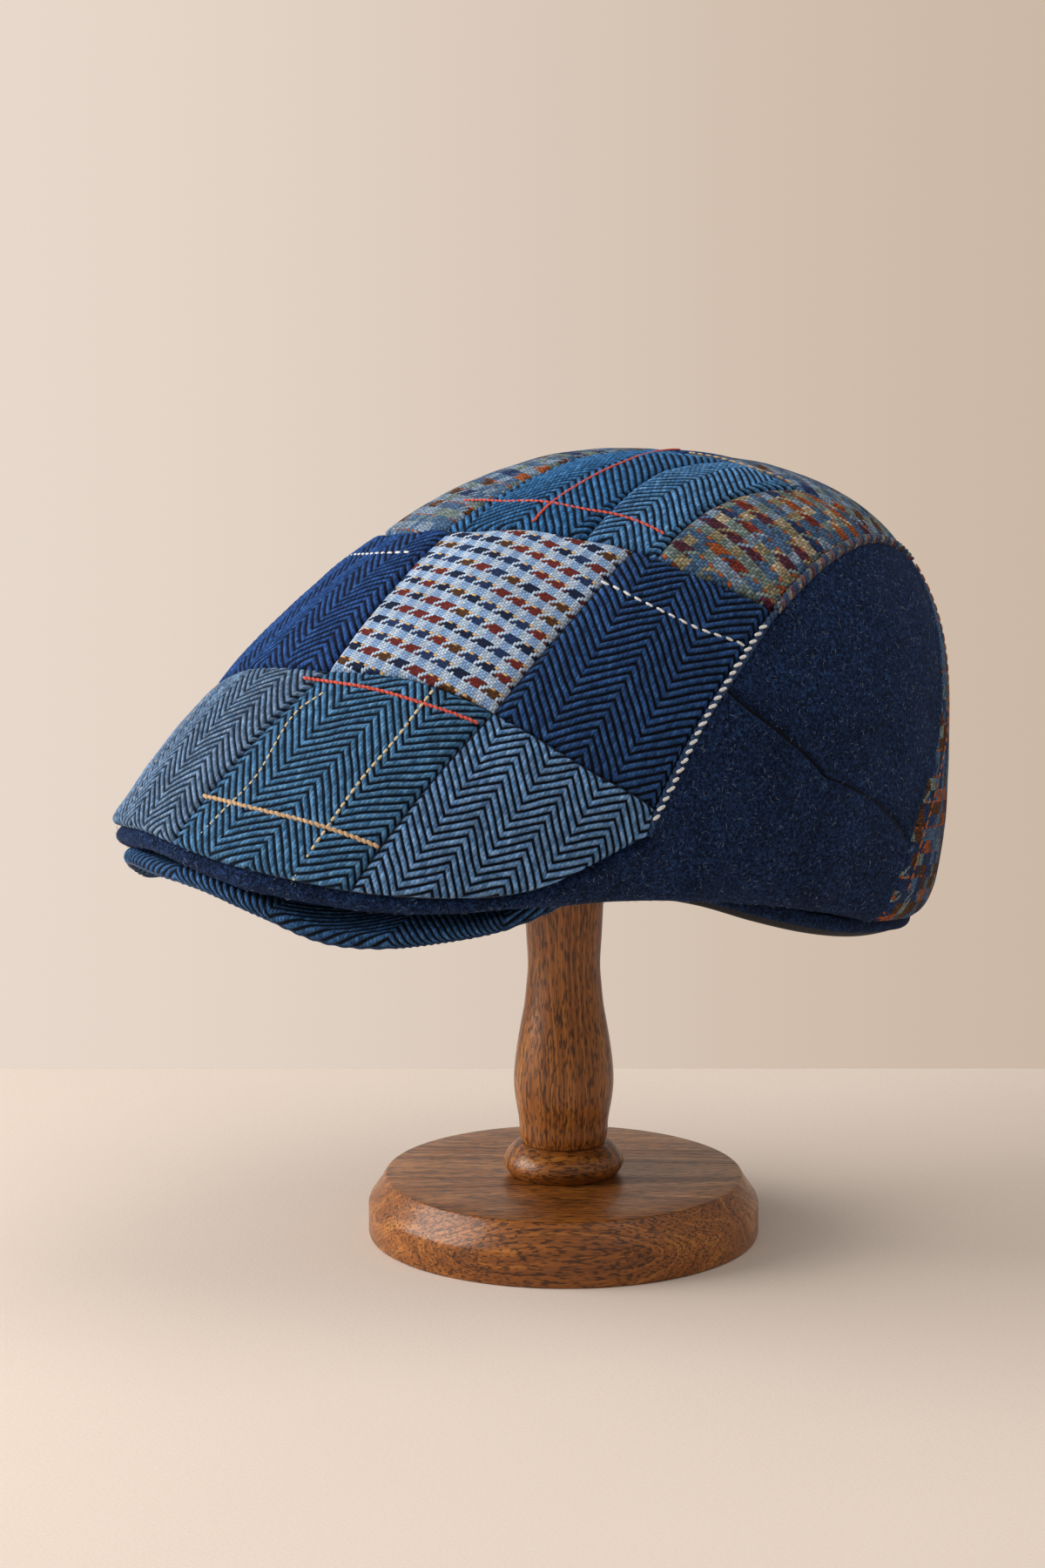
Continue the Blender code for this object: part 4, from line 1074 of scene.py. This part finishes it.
def makePeak():
    form = peakForm
    angle = np.linspace(-form["endAngle"], form["endAngle"], form["steps"] + 1)
    near = headRadius(angle) + cap["clearance"]
    far = outlineRadius(angle) - cap["halfWidth"] * tableCurve(peakAngles, peakInset, np.degrees(angle))
    nearHeight = capLevel(form["innerUnder"])
    farHeight = capLevel(tableCurve(peakAngles, peakUnder, np.degrees(angle)))
    nose = form["wall"] / 2
    steps = form["acrossSteps"]
    top, flat = np.linspace(0, 1, steps), np.zeros(steps)
    bow = np.linspace(0, math.pi, form["noseSteps"] + 2)[1:-1]
    outward = np.concatenate([top, np.ones(len(bow)), top[::-1]])
    lengthOut = np.concatenate([flat, nose * np.sin(bow), flat])
    rise = np.concatenate([flat + 1, 0.5 + 0.5 * np.cos(bow), flat])
    reach = (far - near - nose)[:, None]
    radius = near[:, None] + reach * outward[None] + lengthOut[None]
    height = nearHeight + (farHeight - nearHeight)[:, None] * outward[None] ** form["bend"] + form["wall"] * rise[None]
    points = ringPoint(angle[:, None], radius, height)
    along = runLengths(points, 0)[:, steps : steps + 1] + np.zeros_like(radius)
    across = runLengths(points, 1)
    cloth = np.stack([along, across], axis=-1)
    out = np.cross(np.gradient(points, axis=0), np.gradient(points, axis=1))
    out /= np.linalg.norm(out, axis=-1, keepdims=True)
    middle = points.mean(axis=1, keepdims=True)
    if ((points - middle) * out).sum() < 0:
        out = -out
    points = points + out * (form["ribRise"] * ribHeight(cloth, "shaded_peak_herringbone"))[..., None]
    closing = np.concatenate([cloth, cloth[:, :1]], axis=1)
    peak = sectionStrip("tweed_peak", points, False, closing)
    # the peak's darker cloth holds painted shade under the crown
    finishPiece(peak, cloths["shaded_peak_herringbone"], "fine_herringbone", "peak", smooth=50)
    edge = points[:, steps + form["noseSteps"] - 2]
    down = np.broadcast_to([0.0, 0.0, -1.0], edge.shape)
    piping = tubeOf("ribbon_piping", edge, down, form["piping"], smoothEnds=False)
    finishPiece(piping, navyYarn, "dark_ribbon")


makePeak()

rim = {
    "steps": 240,
    "bandWall": 1.5 * mm,
    "bandHeight": 26 * mm,
    "bandShows": 2 * mm,
    "rollHeight": 5.3 * mm,
    "uneven": 0.15 * mm,
    "unevenLength": 30 * mm,
}


def hemLow(angle):
    return capLevel(tableCurve(sectionAngles, sectionRows["hem"], np.degrees(angle)))


def loopSection(width, height, corners=5):
    # a rounded oblong from (0, 0) to (width, height), anticlockwise from its lower outer corner
    radius = min(width, height) * 0.48
    outer, upper = width - radius, height - radius
    points = []
    for cx, cy, start in ((outer, radius, -90), (outer, upper, 0), (radius, upper, 90), (radius, radius, 180)):
        for k in range(corners + 1):
            turn = math.radians(start + 90 * k / corners)
            points.append((cx + radius * math.cos(turn), cy + radius * math.sin(turn)))
    return np.array(points)


def makeRim():
    angle = np.linspace(0, 2 * math.pi, rim["steps"] + 1)[:-1]
    low = hemLow(angle) - rim["bandShows"] * np.sin(angle) ** 2
    shape = loopSection(rim["bandWall"], rim["bandHeight"])
    radius = (headRadius(angle) - rim["bandWall"])[:, None] + shape[None, :, 0]
    points = ringPoint(angle[:, None], radius, low[:, None] + shape[None, :, 1])
    run = np.linspace(0, 0.56, rim["steps"] + 1)
    around = np.concatenate([[0], np.cumsum(np.hypot(*np.diff(np.concatenate([shape, shape[:1]]), axis=0).T))])
    cloth = np.stack(np.meshgrid(run, around, indexing="ij"), axis=-1)
    band = sectionStrip("ribbon_sweatband", points, True, cloth)
    finishPiece(band, cloths["dark_ribbon"], "dark_ribbon", "sweatband")
    start = peakForm["endAngle"]
    angle = np.linspace(start, 2 * math.pi - start, rim["steps"] + 1)
    shape = loopSection(cap["hemWall"], rim["rollHeight"])
    inside = headRadius(angle) + cap["clearance"]
    points = ringPoint(angle[:, None], inside[:, None] + shape[None, :, 0], hemLow(angle)[:, None] + shape[None, :, 1])
    points = points + rim["uneven"] * ripple(points, rim["unevenLength"], 2)[..., None] * np.array([0, 0, 1])
    run, around = np.linspace(0, 0.5, len(angle)), np.linspace(0, 0.018, len(shape) + 1)
    cloth = np.stack(np.meshgrid(run, around, indexing="ij"), axis=-1)
    finishPiece(sectionStrip("felt_hem", points, False, cloth), cloths["navy_felt"], "navy_felt", "hem_band")
    print("peak, sweatband and hem made")


makeRim()


# Seam cords, stitches and lines of yarn
def capPath(pins, lift, steps=400):
    line = smoothLine(pins, steps)
    normals = capNormal(line)
    return capPlace(line) + normals * lift, normals


def lineRun(points):
    # length of the line up to each of its points
    return np.concatenate([[0], np.cumsum(np.linalg.norm(np.diff(points, axis=0), axis=1))])


def twistedCord(name, pins, lift, reach, strand, pitch, materials, slotName, *nodes):
    # strands that wind round the seam's line, as a rolled and whipped edge
    points, normals = capPath(pins, lift, 700)
    run = lineRun(points)
    _, side, up = frameAlong(points, normals)
    for k, material in enumerate(materials):
        turn = 2 * math.pi * (run / pitch + k / len(materials))
        path = points + reach * (side * np.cos(turn)[:, None] + up * np.sin(turn)[:, None])
        cord = tubeOf(name + "_" + str(k + 1), path, up, strand)
        finishPiece(cord, material, slotName, *(nodes if k == 0 else ()))


def meshPiece(name, vertices, faces, material, slotName):
    # many small closed shapes in one mesh, their faces turned outwards
    mesh = bpy.data.meshes.new(name)
    mesh.from_pydata(vertices, [], faces)
    mesh.update()
    piece = bpy.data.objects.new(name, mesh)
    bpy.context.scene.collection.objects.link(piece)
    pickOnly(piece)
    bpy.ops.object.mode_set(mode="EDIT")
    faceOutwards()
    finishPiece(piece, material, slotName, smooth=80)


def layStitches(name, lines, material, slotName, length, gap, width, height, slant, sink=0.1 * mm):
    # one stitch is modelled once and laid again and again along the lines, end to end with gaps
    bpy.ops.object.select_all(action="DESELECT")
    bpy.ops.mesh.primitive_uv_sphere_add(segments=8, ring_count=6, radius=1)
    stitch = bpy.context.active_object
    form = np.array([vertex.co for vertex in stitch.data.vertices])
    form[:, 2] = np.sign(form[:, 2]) * np.abs(form[:, 2]) ** 0.7
    faces = [tuple(face.vertices) for face in stitch.data.polygons]
    bpy.data.objects.remove(stitch)
    vertices, allFaces = [], []
    for pins, lift in lines:
        points, normals = capPath(pins, lift - sink)
        run = lineRun(points)
        tangent, side, up = frameAlong(points, normals)
        count = max(1, int((run[-1] + gap) / (length + gap)))
        for k in range(count):
            middle = (k + 0.5) * run[-1] / count
            place, ahead, across, out = (
                np.array([np.interp(middle, run, table[:, axis]) for axis in range(3)])
                for table in (points, tangent, side, up)
            )
            along = ahead * math.cos(slant) + across * math.sin(slant)
            aside = across * math.cos(slant) - ahead * math.sin(slant)
            uneven = 1 + 0.12 * math.sin(k * 2.7 + lift * 9000)
            body = place + form[:, 2:3] * along * length / 2 * uneven
            body = body + form[:, 0:1] * aside * width / 2 + form[:, 1:2] * out * height / 2
            allFaces += [tuple(len(vertices) + v for v in face) for face in faces]
            vertices += [tuple(p) for p in body]
    meshPiece(name, vertices, allFaces, material, slotName)


yarnLift = 0.85 * mm
seamLower = (*seamFront, *seamMiddle[1:])
seamUpper = (*seamCrown, *seamRear[1:])


def mirrorPins(pins):
    return tuple((-across, along) for across, along in pins)


def makeTrimmings():
    for side, flip in (("left", False), ("right", True)):
        lower, upper = (tuple(mirrorPins(part) if flip else part) for part in (seamLower, seamUpper))
        twistedCord(
            "navy_cord_" + side, lower, 0.30 * mm, 0.50 * mm, 0.75 * mm, 4.6 * mm,
            (navyYarn, royalYarn), "teal_herringbone", "seam_welt_" + side,
        )
        twistedCord(
            "tweed_welt_" + side, upper, 0.45 * mm, 0.80 * mm, 0.98 * mm, 6.0 * mm,
            (tweedYarn, navyYarn, tweedYarnDark), "brown_houndstooth",
        )
        stitches = ((0.872, -0.44), (0.843, -0.354), (0.80, -0.262), (0.759, -0.17), (0.713, -0.082), (0.672, -0.012))
        stitches = mirrorPins(stitches) if flip else stitches
        layStitches(
            "stitches_side_" + side, [(stitches, 1.35 * mm)], whiteYarn, "teal_herringbone",
            length=2.8 * mm, gap=0.3 * mm, width=1.15 * mm, height=1.0 * mm, slant=0.55,
        )
    backRoute = ((0.30, 0.60), (0.37, 0.68), (0.60, 0.77), (0.93, 0.86), (1.20, 0.92), (1.43, 1.02))
    # yarn, length, gap, width and slant of its stitches, then the routes on the flat disc
    lines = {
        "yarn_tan_front": (tanYarn, 2.4 * mm, -0.6 * mm, 1.25 * mm, 0.35, (
            ((0.107, -0.911), (0.239, -0.877), (0.359, -0.842), (0.432, -0.822)),
        )),
        "yarn_cream_front": (creamYarn, 2.0 * mm, 0.5 * mm, 0.95 * mm, 0.0, (
            ((0.343, -0.942), (0.340, -0.846), (0.334, -0.759), (0.332, -0.679), (0.319, -0.586)),
        )),
        "yarn_cream_front_fine": (creamYarn, 1.7 * mm, 0.6 * mm, 0.65 * mm, 0.0, (
            ((0.144, -0.976), (0.160, -0.919), (0.172, -0.841), (0.147, -0.739), (0.160, -0.681)),
        )),
        "yarn_tan_right": (tanYarn, 2.2 * mm, 1.2 * mm, 0.45 * mm, 0.0, (
            ((-0.10, -0.972), (-0.12, -0.87), (-0.14, -0.72)), ((-0.24, -0.950), (-0.25, -0.86), (-0.27, -0.73)),
        )),
        "yarn_red_front": (redYarn, 1.9 * mm, -0.35 * mm, 1.05 * mm, 0.4, (
            ((0.103, -0.679), (0.211, -0.645), (0.318, -0.615), (0.425, -0.582)),
        )),
        "yarn_white_middle": (whiteYarn, 2.6 * mm, 1.0 * mm, 0.95 * mm, 0.12, (
            ((0.388, -0.286), (0.502, -0.25), (0.621, -0.18), (0.704, -0.08)),
            ((-0.207, -0.417), (-0.039, -0.419), (0.030, -0.405)),
        )),
        "yarn_red_crown": (redYarn, 2.0 * mm, -0.25 * mm, 0.95 * mm, 0.35, (
            ((-0.04, -0.257), (0.087, -0.23), (0.223, -0.191), (0.395, -0.133)),
            ((0.166, -0.266), (0.144, -0.216), (0.116, -0.110), (0.094, -0.020), (0.029, 0.074), (-0.061, 0.198)),
        )),
        "yarn_tan_crown": (tanYarn, 2.4 * mm, 1.0 * mm, 0.8 * mm, 0.0, (
            ((0.029, 0.159), (0.161, 0.195), (0.264, 0.260)),
        )),
        "yarn_orange_back": (orangeYarn, 2.8 * mm, 0.6 * mm, 0.8 * mm, 0.2, tuple(
            tuple((side * a, b) for a, b in backRoute) for side in (1, -1)
        )),
    }
    # a near-black cord sunk in each dart's groove: painted shade along the groove
    for side, flip in (("left", False), ("right", True)):
        route = mirrorPins(dart) if flip else dart
        points, normals = capPath(route, -1.0 * mm, 200)
        finishPiece(tubeOf("groove_shade_dart_" + side, points, normals, 0.55 * mm), grooveShadeYarn, "navy_felt")
    for name, (material, length, gap, width, slant, routes) in lines.items():
        routes = [(route, yarnLift) for route in routes]
        layStitches(name, routes, material, "teal_windowpane", length, gap, width, 0.75 * width, slant)
    print("cords, stitches and yarn lines laid")


makeTrimmings()

fuzz = {
    "seed": 7,
    "perSquareMetre": 95000,
    "length": (0.8 * mm, 2.6 * mm),
    "thick": 0.05 * mm,
    "curl": 3.0,
    "lift": 0.12 * mm,
}


def makeFibres():
    # short curled fibres that stand out of the felt: one bent three-sided tube, laid over and over
    random = np.random.default_rng(fuzz["seed"])
    steps = np.linspace(0, 1, 5)
    ring = np.array([(math.cos(t), math.sin(t)) for t in (0.5, 2.6, 4.7)])
    faces = []
    for k in range(4):
        for n in range(3):
            m = (n + 1) % 3
            faces.append((3 * k + n, 3 * k + m, 3 * k + 3 + m, 3 * k + 3 + n))
    faces += [(2, 1, 0), (12, 13, 14)]
    vertices, allFaces = [], []
    for places, normals in feltFaces:
        acrossEdge, alongEdgeLength = np.diff(places, axis=0)[:, :-1], np.diff(places, axis=1)[:-1]
        area = np.linalg.norm(np.cross(acrossEdge, alongEdgeLength), axis=-1)
        chance = area.ravel() / area.sum()
        count = int(area.sum() * fuzz["perSquareMetre"])
        cells = random.choice(area.size, size=count, p=chance)
        shares = random.random((count, 6))
        for cell, (a, b, turn, size, bend, tip) in zip(cells, shares):
            i, j = divmod(int(cell), area.shape[1])
            normal = normals[i, j]
            first = acrossEdge[i, j] / np.linalg.norm(acrossEdge[i, j])
            second = np.cross(normal, first)
            start = places[i, j] + a * acrossEdge[i, j] + b * alongEdgeLength[i, j]
            heading = 2 * math.pi * turn + fuzz["curl"] * (bend - 0.5) * 2 * steps
            length = fuzz["length"][0] + (fuzz["length"][1] - fuzz["length"][0]) * size**2
            path = np.cumsum(np.stack([np.cos(heading), np.sin(heading)], axis=1), axis=0) * length / 5
            rise = fuzz["lift"] * (0.4 + (0.5 + 2.5 * tip**3) * np.sin(math.pi * steps * 0.8))
            line = start + path[:, :1] * first + path[:, 1:] * second + rise[:, None] * normal
            aside = -np.sin(heading)[:, None] * first + np.cos(heading)[:, None] * second
            thick = fuzz["thick"] * np.array([0.5, 1, 1, 0.9, 0.35])[:, None, None]
            tube = line[:, None] + thick * (aside[:, None] * ring[None, :, :1] + normal * ring[None, :, 1:])
            allFaces += [tuple(len(vertices) + v for v in face) for face in faces]
            vertices += [tuple(p) for p in tube.reshape(-1, 3)]
    meshPiece("felt_fibres", vertices, allFaces, feltFibre, "navy_felt")
    print("felt fibres laid")


makeFibres()


# Lining: a satin shell inside the cloth, open at the head
lining = {"outside": 1.72 * mm, "inside": 2.08 * mm, "bottom": 1.86, "around": 120, "down": 40}


def makeLining():
    angle = np.linspace(0, 2 * math.pi, lining["around"] + 1)[:-1]
    level = np.linspace(0.0, lining["bottom"], lining["down"] + 1)[1:]
    level = np.concatenate([[0.004], level])
    grid = np.stack([level[None] * np.sin(angle)[:, None], -level[None] * np.cos(angle)[:, None]], axis=-1)
    places, normals = capPlace(grid), capNormal(grid)
    normals[:, 0] = (0, 0, 1)
    loop = np.concatenate([places - normals * lining["outside"], (places - normals * lining["inside"])[:, ::-1]], axis=1)
    piece = shapeGrid("satin_lining", np.concatenate([loop, loop[:1]]))
    setWeaveMap(piece, np.zeros((len(piece.data.vertices), 2)))
    weldGrid(openEnds=True)
    finishPiece(piece, cloths["lining_satin"], "dark_ribbon")


makeLining()

# The stand, turned round one axis. Profiles are (radius, height) from the top down; the stem's own are
# (share of its height, share of its radius) from the bottom up.
stand = {
    "sides": 128,
    "baseRadius": 62.4 * mm,
    "baseHeight": 19.6 * mm,
    "baseSide": 10.8 * mm,
    "baseChamfer": 5.5 * mm,
    "collarRadius": 19.1 * mm,
    "collarHeight": 10 * mm,
    "collarTop": 14.4 * mm,
    "collarFull": 0.62,
    "stemRadius": 15.9 * mm,
    "headRadius": 36 * mm,
}
stemTurning = (
    (0.000, 0.83), (0.014, 0.88), (0.040, 0.90), (0.079, 0.975), (0.107, 1.00), (0.136, 0.98), (0.165, 0.937),
    (0.200, 0.87), (0.236, 0.795), (0.268, 0.755), (0.308, 0.723), (0.365, 0.758), (0.450, 0.80), (0.600, 0.86),
    (1.000, 0.86),
)
woodBase = stainedWood("wood_base", (1.0, 0.06, 1.0), turn=(0, 0, math.radians(32)))
woodStem = stainedWood("wood_stem", (1.0, 1.0, 0.07))


def turnPiece(name, profile, material, node, smooth=30):
    # one vertex is extruded down the profile and spun round the stand's axis
    bpy.ops.object.select_all(action="DESELECT")
    bpy.ops.mesh.primitive_plane_add(size=1)
    piece = bpy.context.active_object
    piece.name = name
    piece.data.name = name
    bpy.ops.object.mode_set(mode="EDIT")
    bpy.ops.mesh.select_mode(type="VERT")
    bpy.ops.mesh.select_all(action="SELECT")
    bpy.ops.mesh.merge(type="CENTER")
    last = (0.0, 0.0)
    for radius, height in profile:
        step = (radius - last[0], 0, height - last[1])
        if last == (0.0, 0.0):
            bpy.ops.transform.translate(value=step)
        else:
            bpy.ops.mesh.extrude_vertices_move(TRANSFORM_OT_translate={"value": step})
        last = (radius, height)
    bpy.ops.mesh.select_all(action="SELECT")
    bpy.ops.mesh.spin(steps=stand["sides"], angle=2 * math.pi, center=(0, 0, 0), axis=(0, 0, 1))
    bpy.ops.mesh.select_all(action="SELECT")
    bpy.ops.mesh.remove_doubles(threshold=5e-6)
    faceOutwards()
    finishPiece(piece, material, "stained_wood", node, smooth=smooth)


def baseProfile():
    radius, height, side, chamfer = (stand[key] for key in ("baseRadius", "baseHeight", "baseSide", "baseChamfer"))
    edge, fall = radius - chamfer, height - side
    return [
        (0.0, height), *((r * mm, height) for r in (15, 30, 45)),
        (edge - 0.45 * mm, height), (edge - 0.1 * mm, height - 0.1 * mm), (edge + 0.25 * mm, height - 0.4 * mm),
        *((edge + chamfer * share, height - fall * (0.05 + 0.92 * share)) for share in (0.3, 0.6, 0.93)),
        (radius - 0.05 * mm, side - 0.2 * mm), (radius, side - 0.7 * mm), (radius, 1.2 * mm),
        (radius - 0.3 * mm, 0.4 * mm), (radius - 0.9 * mm, 0.0), (30 * mm, 0.0), (0.0, 0.0),
    ]


def collarProfile(steps=24):
    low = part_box("stand_collar")[0].z
    top, full = stand["collarTop"], stand["collarFull"]
    profile = [(0.0, low + stand["collarHeight"])]
    for depth in (k / steps for k in range(steps + 1)):
        if depth < full:
            out = math.sin(math.pi / 2 * depth / full) ** 0.8
        else:
            out = 1 - 0.42 * (1 - math.cos(math.pi / 2 * (depth - full) / (1 - full)))
        profile.append((top + (stand["collarRadius"] - top) * out, low + stand["collarHeight"] * (1 - depth)))
    return [*profile, (0.0, low)]


def stemProfile():
    low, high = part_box("stand_stem")
    heights = np.linspace(0, 1, 90) ** 1.4
    smooth = smoothLine(stemTurning, 400)
    radii = np.interp(heights, smooth[:, 0], smooth[:, 1]) * stand["stemRadius"]
    levels = low.z + (high.z - low.z) * heights
    return [(0.0, levels[-1]), *zip(radii[::-1], levels[::-1]), (0.0, levels[0])]


def headProfile(steps=24):
    low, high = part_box("stand_head")
    turns = [math.pi / 2 * k / steps for k in range(steps + 1)]
    dome = [(stand["headRadius"] * math.sin(turn), low.z + (high.z - low.z) * math.cos(turn)) for turn in turns]
    return [*dome, (0.0, low.z)]


def makeStand():
    turnPiece("wood_base", baseProfile(), woodBase, "stand_base")
    turnPiece("wood_collar", collarProfile(), woodBase, "stand_collar", smooth=40)
    turnPiece("wood_stem", stemProfile(), woodStem, "stand_stem", smooth=40)
    turnPiece("wood_head", headProfile(), woodStem, "stand_head")
    print("stand turned")


makeStand()


# Studio: a pale table in a pale room, a soft window light from the left and a weak fill
studio = {
    "tableBehind": 0.226,
    "tableRoll": 0.02,
    "tableThick": 0.05,
    "tableReach": 2.4,
    "tableColour": (0.76, 0.655, 0.57),
    # lamps are placed by their way towards the camera, to its right and up, in metres
    "windowPlace": (0.12, -1.15, 0.64),
    "windowSize": 1.0,
    "windowPower": 20,
    "fillPlace": (0.2, 0.5, 1.5),
    "fillSize": 1.2,
    "fillPower": 5.5,
    "lampsAim": (0, 0, 0.12),
    "wallLeft": (0.80, 0.69, 0.60),
    "wallRight": (0.60, 0.475, 0.375),
    "room": (0.34, 0.31, 0.28),
    "roomTop": (0.46, 0.44, 0.42),
}


def paleSurface(name, colour, grain):
    desk = SurfaceDesk(name, roughness=0.95, specular=0.1)
    where = desk.place()
    cloud = desk.noise(where, 5.0, 3.0, 0.5)
    fibre = desk.noise(where, grain, 3.0, 0.6)
    shade = desk.calc("ADD", desk.between(cloud, 0.3, 0.7, -0.02, 0.02), desk.between(fibre, 0.3, 0.7, 0.965, 1.035))
    desk.paint(colour, shade)
    desk.relief(fibre, 0.2 * mm, 0.3)
    return desk.material


azimuth, elevation = math.radians(camera["azimuth"]), math.radians(camera["elevation"])
back = Vector((math.sin(azimuth) * math.cos(elevation), -math.cos(azimuth) * math.cos(elevation), math.sin(elevation)))
right = Vector((math.cos(azimuth), math.sin(azimuth), 0))
flatBack = Vector((math.sin(azimuth), -math.cos(azimuth), 0))


def makeCamera():
    bpy.ops.object.select_all(action="DESELECT")
    bpy.ops.object.camera_add(location=Vector(camera["aim"]) + right * camera["aside"] + back * camera["distance"])
    eye = bpy.context.active_object
    eye.rotation_mode = "QUATERNION"
    eye.rotation_quaternion = (-back).to_track_quat("-Z", "Y")
    eye.data.lens = camera["lens"]
    eye.data.sensor_width = camera["sensor"]
    eye.data.clip_start, eye.data.clip_end = 0.05, 20
    bpy.context.scene.camera = eye


def makeTable():
    # a pale table whose far edge is rolled over just behind the stand
    roll, reach = studio["tableRoll"], studio["tableReach"]
    edge = -studio["tableBehind"] + roll
    turns = [math.pi / 2 * k / 8 for k in range(1, 9)]
    line = [(reach, 0.0), (0.5, 0.0), (edge, 0.0)]
    line += [(edge - roll * math.sin(turn), roll * math.cos(turn) - roll) for turn in turns]
    line += [(-studio["tableBehind"], -studio["tableThick"])]
    across = np.linspace(-reach, reach, 3)
    points = np.array([[tuple(flatBack * d + right * a + Vector((0, 0, h))) for d, h in line] for a in across])
    table = shapeGrid("table", points)
    table.data.materials.append(paleSurface("pale_table", studio["tableColour"], 900.0))
    bpy.ops.object.shade_smooth_by_angle(angle=math.radians(60))


def softLight(name, colour):
    nearer, aside, up = studio[name + "Place"]
    place = flatBack * nearer + right * aside + Vector((0, 0, up))
    bpy.ops.object.light_add(type="AREA", location=place)
    lamp = bpy.context.active_object
    lamp.name = name + "_light"
    lamp.data.shape = "SQUARE"
    lamp.data.size = studio[name + "Size"]
    lamp.data.energy = studio[name + "Power"]
    lamp.data.color = colour
    lamp.visible_camera = False
    lamp.rotation_mode = "QUATERNION"
    lamp.rotation_quaternion = (place - Vector(studio["lampsAim"])).to_track_quat("Z", "Y")


def makeRoom():
    # a pale wall beyond the table, lighter on the window's side, in a soft grey room
    world = bpy.data.worlds.new("studio_air")
    bpy.context.scene.world = world
    world.use_nodes = True
    desk = NodeDesk(world.node_tree)
    way = desk.add("ShaderNodeTexCoord").outputs["Generated"]

    def along(direction):
        return desk.add("ShaderNodeVectorMath", {0: way, 1: tuple(direction)}, operation="DOT_PRODUCT").outputs["Value"]

    def fade(value, low, high):
        return desk.add("ShaderNodeMapRange", {0: value, 1: low, 2: high}, interpolation_type="SMOOTHSTEP").outputs[0]

    upwards = desk.add("ShaderNodeSeparateXYZ", {0: way}).outputs[2]
    wall = desk.blend(fade(along(right), -0.15, 0.15), studio["wallLeft"], studio["wallRight"])
    around = desk.blend(fade(along(-flatBack), 0.70, 0.90), studio["room"], wall)
    room = desk.blend(fade(upwards, 0.2, 0.7), around, studio["roomTop"])
    desk.feed(room, desk.tree.nodes["Background"].inputs["Color"])


makeCamera()
makeTable()
softLight("window", (1.0, 0.97, 0.94))
softLight("fill", (1.0, 0.97, 0.95))
makeRoom()
bpy.context.scene.view_settings.view_transform = "Standard"
print("studio set")
